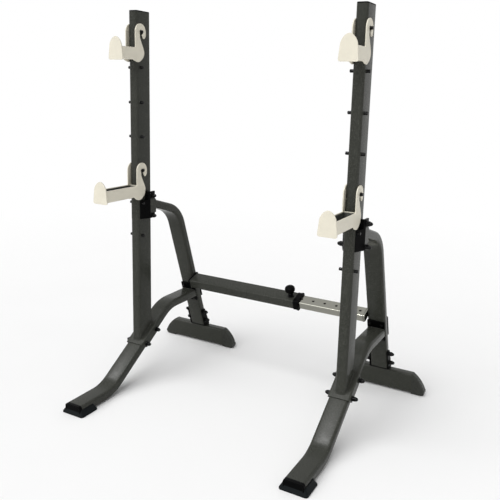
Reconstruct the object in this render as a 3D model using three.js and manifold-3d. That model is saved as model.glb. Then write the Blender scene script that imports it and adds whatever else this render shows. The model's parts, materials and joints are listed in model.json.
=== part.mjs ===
// Squat stand: two uprights on bent legs with rear braces and feet, lift-off bar hooks on rows of pegs,
// and a telescoping cross tube with a spring pin that sets the width.
// Millimetres. X runs across the pair, Y to the back, Z up. The floor is Z = 0.
// X = 0 is midway between the stands and Y = 0 is midway between the front boots and the rear feet.
import * as THREE from "three";
import { mergeVertices } from "three/addons/utils/BufferGeometryUtils.js";
import Module from "manifold-3d";

// The pair
const standSpacing = 1124;
const seatGap = 0.3;
const overrun = 20;
const mergeTolerance = 0.001;

// Fineness of round shapes, as counts
const cornerSteps = 2;
const roundSides = 10;
const smallSides = 8;
const hexSides = 6;
const knobSides = 16;
const curveSteps = 2;
const bendSteps = 3;

// Tube stock
const tubeWall = 3;
const tubeCorner = 12;

// Upright, measured from its own front face and the floor
const uprightWidth = 50;
const uprightDepth = 100;
const uprightHeight = 1830;
const capThickness = 5;
const capSkirt = 22;

// Pegs that the hooks hang on
const pegDiameter = 14;
const pegInset = 22;
const pegTopDrop = 91.5;
const pegPitch = 163.1;
const pegCount = 7;
const pegReach = 18;
// Counts of the pegs above each hook and above the one that the top bracket hangs on
const aboveUpperHookCount = 0;
const aboveLowerHookCount = 4;
const aboveBracketCount = 5;

// Hooks, measured from the peg they hang on
const hookPlate = 5;
const hookClearance = 0.8;
const crownRadius = 37.5;
const eyeBack = 20;
const eyeCorner = 5;
const armTopDrop = 72.5;
const armBottomDrop = 127;
const armCorner = 5;
const upperLobeDrop = 138;
const lowerLobeDrop = 144;
const upperHookReach = 120;
const lowerHookReach = 240;
const frontPlateThickness = 6;
const frontPlateWidth = 82;
const frontPlateShoulder = 71;
const frontPlateShoulderDrop = 73;
const frontPlateTopDrop = 30;
const frontPlateBottomDrop = 134;
const frontPlateCorner = 12;
const backPlateThickness = 6;
const webThickness = 5;
const linerWall = 3;
const linerInset = 3;

// Finger of the hook that closes the eye, as shares of the crown radius behind and below the peg
const fingerShares = {
  topBack: 0.43,
  topDrop: 0.21,
  noseBack: 0.27,
  noseDrop: 0.38,
  tipInnerBack: 0.56,
  tipInnerDrop: 0.82,
  tipBack: 0.76,
  tipDrop: 0.87,
  heelBack: 0.97,
  heelDrop: 0.5,
};
// Back edge of the neck, as shares of the crown radius behind the peg and of the arm's depth below it
const neckBackShares = [
  [-0.15, 0.19],
  [0.16, 0.39],
  [0.5, 0.58],
  [0.67, 0.75],
];
// Lobe under the neck, as shares of the crown radius behind the peg and of the lobe's depth below it
const lobeShares = [
  [0.42, 0.86],
  [-0.35, 1],
  [-1.07, 0.97],
];
const lobeStartShare = 1.52;

// Front leg, a flat foot, an incline and a level end that meets the brace
const legWidth = 90;
const legDepth = 44;
const legFlatHeight = 26;
const legLevelHeight = 332;
const bootFront = 455;
const plugThickness = 10;
const legKneeBack = 222;
const legRearKnee = 235;
const legBendRadius = 100;

// Rear brace, whose upper straight meets the upright's back face a drop below the bracket's peg
const braceWidth = 90;
const braceDepth = 42;
const braceTopDrop = 15.6;
// Fall of the upper straight as a share of its run back, and run of the lower one as a share of its fall
const braceTopFallShare = 0.35;
const braceBottomRunShare = 0.357;
const braceBendRadius = 110;
const braceFootInset = 10;

// Rear foot
const rearFootCentre = 590;
const rearFootDepth = 50;
const rearFootHeight = 106;
const rearFootLift = 6;
const rearFootHalf = 237;
const rearFootSeam = 170;
const capPlug = 25;
const capToe = 24;
const capToeRadius = 14;
// Control point of the cap's round end, as shares of its length and height
const capBulgeShares = [0.68, 0.72];

// Rear bracket, ears on a base plate that hold the brace on the foot
const bracketPlate = 5;
const earRise = 109;
const earInset = 3;
const earCorner = 8;
const rearUpperBoltRise = 92;
const rearLowerBoltRise = 38;

// Top bracket, cheeks either side of the upright, its heights measured from the peg it hangs on
const bracketBelow = 79;
const bracketAbove = 55;
const cheekReach = 50;
const cheekFlareBack = 61;
const cheekBack = 96;
const cheekFront = 10;
const cheekEdge = 2.5;
const cheekStepBack = 50;
const hookRelief = 5;
const windowBelow = 55;
const windowAbove = 20;
const yokePlate = 5;
const yokeBack = 140;
const yokeBossRadius = 11;
const topBoltBack = 72;
const topBoltRise = 35;
const topBoltDrop = 66;

// Tie bolts with a washer and a domed nut at each end
const boltDiameter = 10;
const boltClearance = 0.3;
const washerDiameter = 24;
const washerThickness = 2.5;
const nutAcrossFlats = 18;
const nutHeight = 9;
const domeHeight = 7;
const turnedChamfer = 1.5;

// Saddle that carries the upright on the leg
const saddlePlate = 5;
const saddleFront = 12;
const saddleBack = 122;
const saddleDrop = 46;
const saddleFrontBoltBack = 22;
const saddleRearBoltBack = 100;

// Flange that joins the leg to the brace, and the plate behind the brace
const flangeWidth = 90;
const flangeHigh = 68;
const flangeLow = 47;
const flangePlate = 6;
const flangeCorner = 6;
const flangeBoltDiameter = 9;
const flangeBoltSide = 28;
const flangeBoltRise = 48;
const flangeBoltDrop = 36;
const flangeHeadDiameter = 16;
const flangeHeadHeight = 6;

// Front boot
const bootWidth = 124;
const bootLength = 104;
const bootSole = 8;
const bootWall = 30;
const bootTopWidth = 98;
const bootCorner = 12;
const bootLip = 10;

// Cross tube, square to the brace and a little in front of its middle, above the leg's level end
const crossForward = 25.3;
const crossRise = 87;
const outerTubeDepth = 80;
const outerTubeHeight = 50;
const outerTubeCorner = 6;
const innerTubeDepth = 68;
const innerTubeHeight = 38;
const innerTubeCorner = 5;
const crossPlate = 8;
const crossPlateDepth = 92;
const crossPlateHeight = 62;
const collarBack = 121;
const collarFront = 161;
const collarWall = 3;
const collarEnd = 6;
const bushBack = 62;
const innerTubeStart = -113;
const holePitch = 63.5;
const holeDiameter = 13;
const inwardHoleCount = 6;
const outwardHoleCount = 1;

// Spring pin
const pinAcross = 102.6;
const pinDiameter = 12;
const pinClearance = 0.3;
const pinTravel = 9;
const pinLiftClearance = 2;
const pinShoulderDiameter = 16;
const pinShoulderHeight = 3;
const pinStemDiameter = 8;
const housingDiameter = 26;
const housingTop = 4;
const housingBore = 18;
const housingFlangeDiameter = 34;
const housingFlangeHeight = 4;
const knobDiameter = 47;
const knobHeight = 34;
const knobNeckDiameter = 26;
const knobSocketDepth = 20;
const springWire = 1.6;
const springCoil = 12.4;
const springTurnCount = 4;
const springSides = 5;
const springTurnSteps = 8;

// Places worked out from the sizes above
const legFloorSlope = (legLevelHeight - legFlatHeight) / (legRearKnee + legKneeBack);
const legAngle = Math.atan(legFloorSlope);
const braceTilt = Math.atan(braceBottomRunShare);
const braceFootHeight = rearFootHeight + seatGap + bracketPlate + seatGap;
const braceFootBack = rearFootCentre - braceFootInset;
const footBack = rearFootCentre + rearFootDepth / 2;
const depthShift = (footBack - bootFront) / 2;
const crossHeight = legLevelHeight + crossRise;
const pegRadius = pegDiameter / 2;
const pegTopHeight = uprightHeight - pegTopDrop;
const pegHeights = Array.from({ length: pegCount }, (_, i) => pegTopHeight - i * pegPitch);
const bracketHeight = pegHeights[aboveBracketCount];
const topBracketLow = bracketHeight - bracketBelow;
const topBracketHigh = bracketHeight + bracketAbove;
const windowLow = bracketHeight - windowBelow;
const windowHigh = bracketHeight + windowAbove;
const topBoltHeights = [bracketHeight + topBoltRise, bracketHeight - topBoltDrop];
const earHeight = rearFootHeight + earRise;
const rearBoltHeights = [rearFootHeight + rearUpperBoltRise, rearFootHeight + rearLowerBoltRise];
const saddleBoltBacks = [saddleFrontBoltBack, saddleRearBoltBack];
const boltHole = boltDiameter / 2 + boltClearance;
const flangeBoltHole = (flangeBoltDiameter / 2 + boltClearance) / Math.cos(Math.PI / smallSides);

const wasm = await Module();
wasm.setup();

// A closed geometry as a solid for joining and cutting.
function solidOf(geometry) {
  const bare = geometry.index ? geometry.toNonIndexed() : geometry.clone();
  bare.deleteAttribute("normal");
  bare.deleteAttribute("uv");
  const merged = mergeVertices(bare, mergeTolerance);
  return new wasm.Manifold(
    new wasm.Mesh({
      numProp: 3,
      vertProperties: merged.attributes.position.array,
      triVerts: new Uint32Array(merged.index.array),
    }),
  );
}

function geometryOf(solid) {
  const mesh = solid.getMesh();
  const geometry = new THREE.BufferGeometry();
  geometry.setAttribute("position", new THREE.BufferAttribute(mesh.vertProperties, 3));
  geometry.setIndex(new THREE.BufferAttribute(mesh.triVerts, 1));
  const flat = geometry.toNonIndexed();
  flat.computeVertexNormals();
  return flat;
}

const join = (...solids) => solids.reduce((a, b) => a.add(b));
const cut = (solid, ...tools) => tools.reduce((a, b) => a.subtract(b), solid);

// Extrusions of a flat shape along each axis, between two places on that axis.
function extrude(shape, length, basis, origin) {
  const geometry = new THREE.ExtrudeGeometry(shape, {
    depth: length,
    bevelEnabled: false,
    curveSegments: curveSteps,
  });
  return solidOf(geometry.applyMatrix4(basis.setPosition(origin)));
}
function alongX(shape, from, to) {
  const basis = new THREE.Matrix4().makeBasis(
    new THREE.Vector3(0, 1, 0),
    new THREE.Vector3(0, 0, 1),
    new THREE.Vector3(1, 0, 0),
  );
  return extrude(shape, to - from, basis, new THREE.Vector3(from, 0, 0));
}
function alongY(shape, from, to) {
  const basis = new THREE.Matrix4().makeBasis(
    new THREE.Vector3(1, 0, 0),
    new THREE.Vector3(0, 0, 1),
    new THREE.Vector3(0, -1, 0),
  );
  return extrude(shape, to - from, basis, new THREE.Vector3(0, to, 0));
}
function alongZ(shape, from, to) {
  return extrude(shape, to - from, new THREE.Matrix4(), new THREE.Vector3(0, 0, from));
}

// Points round a rectangle with round corners, centred on a point.
function roundedPoints(width, height, corner, centreX = 0, centreY = 0) {
  const points = [];
  const cornerSigns = [
    [1, 1],
    [-1, 1],
    [-1, -1],
    [1, -1],
  ];
  cornerSigns.forEach(([signX, signY], quarter) => {
    for (let k = 0; k <= cornerSteps; k++) {
      const angle = ((quarter + k / cornerSteps) * Math.PI) / 2;
      const x = centreX + signX * (width / 2 - corner) + corner * Math.cos(angle);
      const y = centreY + signY * (height / 2 - corner) + corner * Math.sin(angle);
      points.push(new THREE.Vector2(x, y));
    }
  });
  return points;
}
const rounded = (...sizes) => new THREE.Shape(roundedPoints(...sizes));
function roundedRing(width, height, corner, wall, centreX = 0, centreY = 0) {
  const ring = rounded(width, height, corner, centreX, centreY);
  const inside = [width - 2 * wall, height - 2 * wall, corner - wall];
  ring.holes.push(new THREE.Path(roundedPoints(...inside, centreX, centreY)));
  return ring;
}
function polygon(points) {
  return new THREE.Shape(points.map(([x, y]) => new THREE.Vector2(x, y)));
}

// A round bar along X, Y or Z that starts at a point.
function bar(axis, radius, length, at, sides = roundSides) {
  const geometry = new THREE.CylinderGeometry(radius, radius, length, sides);
  geometry.translate(0, length / 2, 0);
  if (axis === "x") geometry.rotateZ(-Math.PI / 2);
  if (axis === "z") geometry.rotateX(Math.PI / 2);
  return solidOf(geometry.translate(...at));
}
// A round hole's space, whose flats lie on the radius so that a pin of nearly that radius clears them.
function bore(axis, radius, length, at, sides = smallSides) {
  return bar(axis, radius / Math.cos(Math.PI / sides), length, at, sides);
}
// A turned piece about Z, from its half outline.
function turned(outline, sides = roundSides) {
  const points = outline.map(([radius, height]) => new THREE.Vector2(radius, height));
  return solidOf(new THREE.LatheGeometry(points, sides).rotateX(Math.PI / 2));
}

// Stations of a run in the YZ plane through corner points, with round bends.
function bentRun(corners, bendRadius) {
  const heading = (a, b) => Math.atan2(b[1] - a[1], b[0] - a[0]);
  const stations = [];
  corners.forEach((corner, i) => {
    if (i === 0) {
      stations.push({ y: corner[0], z: corner[1], angle: heading(corner, corners[1]) });
      return;
    }
    const before = heading(corners[i - 1], corner);
    if (i === corners.length - 1) {
      stations.push({ y: corner[0], z: corner[1], angle: before });
      return;
    }
    const turn = heading(corner, corners[i + 1]) - before;
    const side = Math.sign(turn) * bendRadius;
    const reach = bendRadius * Math.tan(Math.abs(turn) / 2);
    const centreY = corner[0] - reach * Math.cos(before) - side * Math.sin(before);
    const centreZ = corner[1] - reach * Math.sin(before) + side * Math.cos(before);
    for (let k = 0; k <= bendSteps; k++) {
      const angle = before + (turn * k) / bendSteps;
      const y = centreY + side * Math.sin(angle);
      const z = centreZ - side * Math.cos(angle);
      stations.push({ y, z, angle });
    }
  });
  return stations;
}

// A rectangular tube swept along stations in the YZ plane.
function sweptTube(stations, width, height, corner, wall) {
  const loops = [
    roundedPoints(width, height, corner),
    roundedPoints(width - 2 * wall, height - 2 * wall, corner - wall),
  ];
  const place = (station, p) => [
    p.x,
    station.y - p.y * Math.sin(station.angle),
    station.z + p.y * Math.cos(station.angle),
  ];
  const rings = stations.map((s) => loops.map((loop) => loop.map((p) => place(s, p))));
  const position = [];
  const quad = (a, b, c, d) => position.push(...a, ...b, ...c, ...a, ...c, ...d);
  const count = loops[0].length;
  for (let j = 0; j < count; j++) {
    const k = (j + 1) % count;
    for (let i = 0; i + 1 < rings.length; i++) {
      const [outer, inner] = rings[i];
      const [outerNext, innerNext] = rings[i + 1];
      quad(outer[j], outerNext[j], outerNext[k], outer[k]);
      quad(inner[k], innerNext[k], innerNext[j], inner[j]);
    }
    const [outer, inner] = rings[0];
    const [outerEnd, innerEnd] = rings[rings.length - 1];
    quad(outer[j], outer[k], inner[k], inner[j]);
    quad(innerEnd[j], innerEnd[k], outerEnd[k], outerEnd[j]);
  }
  const geometry = new THREE.BufferGeometry();
  geometry.setAttribute("position", new THREE.Float32BufferAttribute(position, 3));
  return solidOf(geometry);
}

// A solid between two rounded rectangles at two heights.
function flaredBlock(low, high) {
  const ring = ({ width, depth, corner, y, z }) =>
    roundedPoints(width, depth, corner, 0, y).map((p) => [p.x, p.y, z]);
  const bottom = ring(low);
  const top = ring(high);
  const position = [];
  const count = bottom.length;
  for (let j = 0; j < count; j++) {
    const k = (j + 1) % count;
    position.push(...bottom[j], ...bottom[k], ...top[k], ...bottom[j], ...top[k], ...top[j]);
  }
  for (let j = 1; j + 1 < count; j++) {
    position.push(...bottom[0], ...bottom[j + 1], ...bottom[j]);
    position.push(...top[0], ...top[j], ...top[j + 1]);
  }
  const geometry = new THREE.BufferGeometry();
  geometry.setAttribute("position", new THREE.Float32BufferAttribute(position, 3));
  return solidOf(geometry);
}

// Finishes
const finish = (color, roughness, metalness = 0) =>
  new THREE.MeshStandardMaterial({ color, roughness, metalness });
const frameGrey = finish(0x4a4c49, 0.5, 0.4);
const hookCream = finish(0xe4dfcf, 0.55);
const linerGrey = finish(0x55564f, 0.7);
const blackPaint = finish(0x101112, 0.5, 0.2);
const blackPlastic = finish(0x1c1e20, 0.6);
const chrome = finish(0xd8d6cc, 0.12, 1);

function mesh(name, solid, material) {
  const made = new THREE.Mesh(geometryOf(solid), material);
  made.name = name;
  return made;
}

// Height of the leg's centreline under a place on its incline.
const legAxisHeight = (back) => legLevelHeight - legFloorSlope * (legRearKnee - back);
// Place of the brace's centreline at a height on its lower straight.
const braceAxisBack = (height) => braceFootBack - braceBottomRunShare * (height - braceFootHeight);
const braceHalfRun = braceDepth / 2 / Math.cos(braceTilt);

// The prism under the leg's top face, moved up by a clearance, which mitres what stands on it.
function belowIncline(clearance) {
  const rise = (legDepth / 2 + clearance) / Math.cos(legAngle);
  const lineAt = (back) => legAxisHeight(back) + rise;
  const front = -uprightDepth;
  const back = uprightDepth * 2;
  const outline = polygon([
    [front, 0],
    [back, 0],
    [back, lineAt(back)],
    [front, lineAt(front)],
  ]);
  return alongX(outline, -legWidth, legWidth);
}

function upright() {
  const foot = legAxisHeight(0);
  const section = roundedRing(uprightWidth, uprightDepth, tubeCorner, tubeWall, 0, uprightDepth / 2);
  const tube = alongZ(section, foot, uprightHeight);
  const pegHalf = uprightWidth / 2 + pegReach;
  const pegs = pegHeights.map((height) => {
    return bar("x", pegRadius, 2 * pegHalf, [-pegHalf, pegInset, height], smallSides);
  });
  const holes = topBoltHeights.map((height) =>
    bore("x", boltHole, uprightWidth + overrun, [-(uprightWidth + overrun) / 2, topBoltBack, height]),
  );
  return cut(join(tube, ...pegs), belowIncline(saddlePlate + 2 * seatGap), ...holes);
}

function uprightCap() {
  const centre = uprightDepth / 2;
  const low = uprightHeight + seatGap;
  const lid = alongZ(rounded(uprightWidth, uprightDepth, tubeCorner, 0, centre), low, low + capThickness);
  const inside = 2 * (tubeWall + seatGap);
  const corner = tubeCorner - tubeWall;
  const skirt = roundedRing(uprightWidth - inside, uprightDepth - inside, corner, tubeWall, 0, centre);
  return join(lid, alongZ(skirt, low - capSkirt, low + capThickness / 2));
}

// Side outline of a hook, in Y and Z from its peg.
function hookOutline(frontEnd, lobeDrop) {
  const eyeRadius = pegRadius + seatGap;
  const r = crownRadius;
  const f = fingerShares;
  const shape = new THREE.Shape();
  const neck = neckBackShares.map(([back, drop]) => new THREE.Vector2(back * r, -drop * armBottomDrop));
  const lobe = lobeShares.map(([back, drop]) => new THREE.Vector2(back * r, -drop * lobeDrop));
  const lobeStart = new THREE.Vector2(-lobeStartShare * r, -armBottomDrop);
  shape.moveTo(frontEnd, -armBottomDrop);
  shape.lineTo(lobeStart.x, lobeStart.y);
  shape.splineThru([...lobe.reverse(), ...neck.reverse()]);
  shape.lineTo(-eyeRadius, 0);
  shape.absarc(0, 0, eyeRadius, Math.PI, Math.PI / 2, true);
  shape.lineTo(eyeBack - eyeCorner, eyeRadius);
  shape.absarc(eyeBack - eyeCorner, eyeRadius - eyeCorner, eyeCorner, Math.PI / 2, 0, true);
  shape.lineTo(eyeBack, -(f.topDrop * r) / 2);
  shape.quadraticCurveTo(eyeBack, -f.topDrop * r, f.topBack * r, -f.topDrop * r);
  shape.quadraticCurveTo(f.noseBack * r, -f.topDrop * r, f.noseBack * r, -f.noseDrop * r);
  shape.lineTo(f.tipInnerBack * r, -f.tipInnerDrop * r);
  shape.quadraticCurveTo(f.tipBack * r, -f.tipDrop * r, f.heelBack * r, -f.heelDrop * r);
  shape.lineTo(r, 0);
  shape.absarc(0, 0, r, 0, Math.PI / 2);
  shape.absarc(0, 0, r, Math.PI / 2, Math.PI);
  shape.lineTo(-r, -(armTopDrop - armCorner));
  shape.quadraticCurveTo(-r, -armTopDrop, -(r + armCorner), -armTopDrop);
  shape.lineTo(frontEnd, -armTopDrop);
  shape.closePath();
  return shape;
}

const hookInnerHalf = uprightWidth / 2 + hookClearance;
const backPlateBack = -(pegInset + seatGap);
const frontPlateBack = (reach) => -(pegInset + reach - frontPlateThickness);

function hook(reach, lobeDrop) {
  const plateBack = frontPlateBack(reach);
  const outline = hookOutline(plateBack - frontPlateThickness / 2, lobeDrop);
  const sides = [-1, 1].map((side) => {
    const ends = [side * hookInnerHalf, side * (hookInnerHalf + hookPlate)].sort((a, b) => a - b);
    return alongX(outline, ...ends);
  });
  const front = new THREE.Shape();
  const half = frontPlateWidth / 2;
  const corner = frontPlateCorner;
  const crown = [frontPlateShoulder / 2, frontPlateShoulderDrop - frontPlateTopDrop];
  front.absarc(half - corner, corner - frontPlateBottomDrop, corner, -Math.PI / 2, 0);
  front.absellipse(0, -frontPlateShoulderDrop, ...crown, 0, Math.PI / 2);
  front.absellipse(0, -frontPlateShoulderDrop, ...crown, Math.PI / 2, Math.PI);
  front.absarc(corner - half, corner - frontPlateBottomDrop, corner, Math.PI, Math.PI * 1.5);
  front.closePath();
  const plate = alongY(front, plateBack - frontPlateThickness, plateBack);
  const across = hookInnerHalf + hookPlate / 2;
  const box = (low, high) =>
    polygon([
      [low[0], low[1]],
      [high[0], low[1]],
      [high[0], high[1]],
      [low[0], high[1]],
    ]);
  const back = box([backPlateBack - backPlateThickness, -armBottomDrop], [backPlateBack, -armTopDrop]);
  const web = box(
    [plateBack - frontPlateThickness / 2, -armBottomDrop],
    [backPlateBack, webThickness - armBottomDrop],
  );
  return join(...sides, plate, alongX(back, -across, across), alongX(web, -across, across));
}

function hookLiner(reach) {
  const half = hookInnerHalf - seatGap;
  const low = webThickness - armBottomDrop + seatGap;
  const high = -(armTopDrop + linerInset);
  const channel = polygon([
    [-half, low],
    [half, low],
    [half, high],
    [half - linerWall, high],
    [half - linerWall, low + linerWall],
    [linerWall - half, low + linerWall],
    [linerWall - half, high],
    [-half, high],
  ]);
  const from = frontPlateBack(reach) + seatGap;
  return alongY(channel, from, backPlateBack - backPlateThickness - seatGap);
}

// A bolt across X with a washer and a domed nut at each end, outside a half span.
function tieBolt(halfSpan) {
  const shank = halfSpan + washerThickness / 2;
  const rod = bar("x", boltDiameter / 2, 2 * shank, [-shank, 0, 0], smallSides);
  const nutRadius = nutAcrossFlats / 2 / Math.cos(Math.PI / hexSides);
  const nutTop = washerThickness + nutHeight;
  const nutOutline = [
    [0, washerThickness / 2],
    [nutRadius, washerThickness / 2],
    [nutRadius, nutTop],
    [nutRadius / 2, nutTop + domeHeight],
    [0, nutTop + domeHeight],
  ].map(([radius, height]) => new THREE.Vector2(radius, height));
  const ends = [-1, 1].map((side) => {
    const nut = new THREE.LatheGeometry(nutOutline, hexSides);
    nut.rotateZ((-side * Math.PI) / 2).translate(side * halfSpan, 0, 0);
    const washerAt = side > 0 ? halfSpan : -halfSpan - washerThickness;
    return join(solidOf(nut), bar("x", washerDiameter / 2, washerThickness, [washerAt, 0, 0]));
  });
  return join(rod, ...ends);
}

function topCheek(side) {
  const inner = uprightWidth / 2 + seatGap;
  const outline = polygon([
    [side * inner, cheekFront],
    [side * (inner + cheekEdge), cheekFront],
    [side * cheekReach, cheekFlareBack],
    [side * cheekReach, cheekBack],
    [side * inner, cheekBack],
  ]);
  const body = alongZ(outline, topBracketLow, topBracketHigh);
  const window = polygon([
    [side * (inner - overrun), cheekFlareBack],
    [side * (cheekReach + overrun), cheekFlareBack],
    [side * (cheekReach + overrun), cheekBack + overrun],
    [side * (inner - overrun), cheekBack + overrun],
  ]);
  // The arms above and below the window are thin plates that lie outside the yoke.
  const behindArms = polygon([
    [side * (inner - overrun), cheekFlareBack],
    [side * (cheekReach - yokePlate), cheekFlareBack],
    [side * (cheekReach - yokePlate), cheekBack + overrun],
    [side * (inner - overrun), cheekBack + overrun],
  ]);
  // The front top corner steps down so that the lower hook's lobes clear it.
  const reach = cheekReach + overrun;
  const stepHeight = pegHeights[aboveLowerHookCount] - lowerLobeDrop - hookRelief;
  const step = polygon([
    [-overrun, stepHeight],
    [cheekStepBack, stepHeight],
    [cheekStepBack, topBracketHigh + overrun],
    [-overrun, topBracketHigh + overrun],
  ]);
  const hole = (radius, back, height) => bore("x", radius, 2 * reach, [-reach, back, height]);
  return cut(
    body,
    alongZ(window, windowLow, windowHigh),
    alongZ(behindArms, topBracketLow - overrun, topBracketHigh + overrun),
    alongX(step, -reach, reach),
    hole(pegRadius + seatGap, pegInset, bracketHeight),
    ...topBoltHeights.map((height) => hole(boltHole, topBoltBack, height)),
  );
}

// The brace: a bent tube with a fork welded to its top end that reaches round the upright.
function rearBrace() {
  // The knee is where the upper straight meets the lower one.
  const topHeight = bracketHeight - braceTopDrop;
  const floorBack = braceAxisBack(0) - uprightDepth;
  const kneeHeight = (topHeight - braceTopFallShare * floorBack) / (1 - braceTopFallShare * braceBottomRunShare);
  const run = bentRun(
    [
      [uprightDepth - overrun, topHeight + braceTopFallShare * overrun],
      [braceAxisBack(kneeHeight), kneeHeight],
      [braceAxisBack(braceFootHeight - overrun), braceFootHeight - overrun],
    ],
    braceBendRadius,
  );
  const tube = sweptTube(run, braceWidth, braceDepth, tubeCorner, tubeWall);
  const outerHalf = cheekReach - yokePlate - seatGap;
  const forks = [-1, 1].map((side) => {
    const plateOutline = polygon([
      [cheekFlareBack + seatGap, topBracketLow + seatGap],
      [cheekBack, topBracketLow + seatGap],
      [cheekBack, windowLow + seatGap],
      [yokeBack, windowLow + seatGap],
      [yokeBack, windowHigh - overrun],
      [cheekBack, windowHigh - seatGap],
      [cheekBack, topBracketHigh - seatGap],
      [cheekFlareBack + seatGap, topBracketHigh - seatGap],
    ]);
    const plate = alongX(plateOutline, ...[side * (outerHalf - yokePlate), side * outerHalf].sort((a, b) => a - b));
    const padOutline = polygon([
      [cheekFlareBack + seatGap, windowLow + seatGap],
      [cheekBack, windowLow + seatGap],
      [yokeBack, windowLow + seatGap],
      [yokeBack, windowHigh - overrun],
      [cheekBack, windowHigh - seatGap],
      [cheekFlareBack + seatGap, windowHigh - seatGap],
    ]);
    const pad = alongX(padOutline, ...[side * (outerHalf - yokePlate), side * cheekReach].sort((a, b) => a - b));
    const inner = uprightWidth / 2 + seatGap;
    const bosses = topBoltHeights.map((height) => {
      const at = [side > 0 ? inner : -outerHalf, topBoltBack, height];
      return bar("x", yokeBossRadius, outerHalf - inner, at, smallSides);
    });
    return join(plate, pad, ...bosses);
  });
  const throat = polygon([
    [-uprightWidth / 2 - seatGap, 0],
    [uprightWidth / 2 + seatGap, 0],
    [uprightWidth / 2 + seatGap, uprightDepth + seatGap],
    [-uprightWidth / 2 - seatGap, uprightDepth + seatGap],
  ]);
  const across = rearFootHalf;
  const holes = [
    ...topBoltHeights.map((height) => [topBoltBack, height]),
    ...rearBoltHeights.map((height) => [braceAxisBack(height), height]),
  ].map(([back, height]) => bore("x", boltHole, 2 * across, [-across, back, height]));
  const belowFoot = polygon([
    [0, -overrun],
    [footBack + braceDepth, -overrun],
    [footBack + braceDepth, braceFootHeight],
    [0, braceFootHeight],
  ]);
  return cut(
    join(tube, ...forks),
    alongZ(throat, topBracketLow - overrun, topBracketHigh + overrun),
    alongX(belowFoot, -across, across),
    flangeBoltBars(flangeBoltHole),
    ...holes,
  );
}

// Frame on the brace's front face, level with the leg's end: along the face and out of it.
const flangeOrigin = {
  y: braceAxisBack(legLevelHeight) - braceHalfRun,
  z: legLevelHeight,
};
function onBrace(solidGeometry) {
  return solidGeometry.rotateX(braceTilt).translate(0, flangeOrigin.y, flangeOrigin.z);
}
const flangeBoltPlaces = [-1, 1].flatMap((side) =>
  [flangeBoltRise, -flangeBoltDrop].map((rise) => [side * flangeBoltSide, rise]),
);
function flangeBoltBars(radius, front = flangePlate + overrun, back = braceDepth + flangePlate + overrun) {
  const length = front + back;
  return join(
    ...flangeBoltPlaces.map(([x, rise]) => {
      const geometry = new THREE.CylinderGeometry(radius, radius, length, smallSides);
      return solidOf(onBrace(geometry.translate(x, length / 2 - front, rise)));
    }),
  );
}
function flangeSheet(from, to) {
  const height = flangeHigh + flangeLow;
  const shape = rounded(flangeWidth, height, flangeCorner, 0, (flangeHigh - flangeLow) / 2);
  const geometry = new THREE.ExtrudeGeometry(shape, {
    depth: to - from,
    bevelEnabled: false,
    curveSegments: curveSteps,
  });
  return solidOf(onBrace(geometry.rotateX(Math.PI / 2).translate(0, to, 0)));
}

function legFlange() {
  const plate = flangeSheet(-(flangePlate + seatGap), -seatGap);
  return cut(plate, flangeBoltBars(flangeBoltHole));
}

// The plate behind the brace with its four bolts, whose heads clamp the flange.
function backingPlate() {
  const plate = flangeSheet(braceDepth + seatGap, braceDepth + seatGap + flangePlate);
  const front = flangePlate + 2 * seatGap;
  const shanks = flangeBoltBars(
    flangeBoltDiameter / 2,
    front + flangeHeadHeight / 2,
    braceDepth + flangePlate,
  );
  const heads = flangeBoltPlaces.map(([x, rise]) => {
    const geometry = new THREE.CylinderGeometry(
      flangeHeadDiameter / 2,
      flangeHeadDiameter / 2,
      flangeHeadHeight,
      hexSides,
    );
    return solidOf(onBrace(geometry.translate(x, -front - flangeHeadHeight / 2, rise)));
  });
  return join(plate, shanks, ...heads);
}

function frontLeg() {
  const run = bentRun(
    [
      [bootLip + plugThickness + seatGap - bootFront, legFlatHeight],
      [-legKneeBack, legFlatHeight],
      [legRearKnee, legLevelHeight],
      [flangeOrigin.y + overrun, legLevelHeight],
    ],
    legBendRadius,
  );
  const tube = sweptTube(run, legWidth, legDepth, tubeCorner, tubeWall);
  const reach = legWidth;
  const behindFlange = new THREE.BoxGeometry(2 * reach, 2 * reach, 2 * reach);
  behindFlange.translate(0, reach - flangePlate - 2 * seatGap, 0);
  const holes = saddleBoltBacks.map((back) =>
    bore("x", boltHole, 2 * reach, [-reach, back, legAxisHeight(back)]),
  );
  return cut(tube, solidOf(onBrace(behindFlange)), ...holes);
}

// The saddle: a plate on the leg's top face with a cheek down each side.
function saddle() {
  const innerHalf = legWidth / 2 + seatGap;
  const outerHalf = innerHalf + saddlePlate;
  const top = legDepth / 2 + seatGap + saddlePlate;
  const section = polygon([
    [-outerHalf, top - saddleDrop],
    [-innerHalf, top - saddleDrop],
    [-innerHalf, top - saddlePlate],
    [innerHalf, top - saddlePlate],
    [innerHalf, top - saddleDrop],
    [outerHalf, top - saddleDrop],
    [outerHalf, top],
    [-outerHalf, top],
  ]);
  const length = (saddleFront + saddleBack) / Math.cos(legAngle);
  const geometry = new THREE.ExtrudeGeometry(section, { depth: length, bevelEnabled: false });
  geometry.rotateX(Math.PI / 2).translate(0, length, 0).rotateX(legAngle);
  geometry.translate(0, -saddleFront, legAxisHeight(-saddleFront));
  const holes = saddleBoltBacks.map((back) =>
    bore("x", boltHole, 2 * legWidth, [-legWidth, back, legAxisHeight(back)]),
  );
  return cut(solidOf(geometry), ...holes);
}

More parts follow.
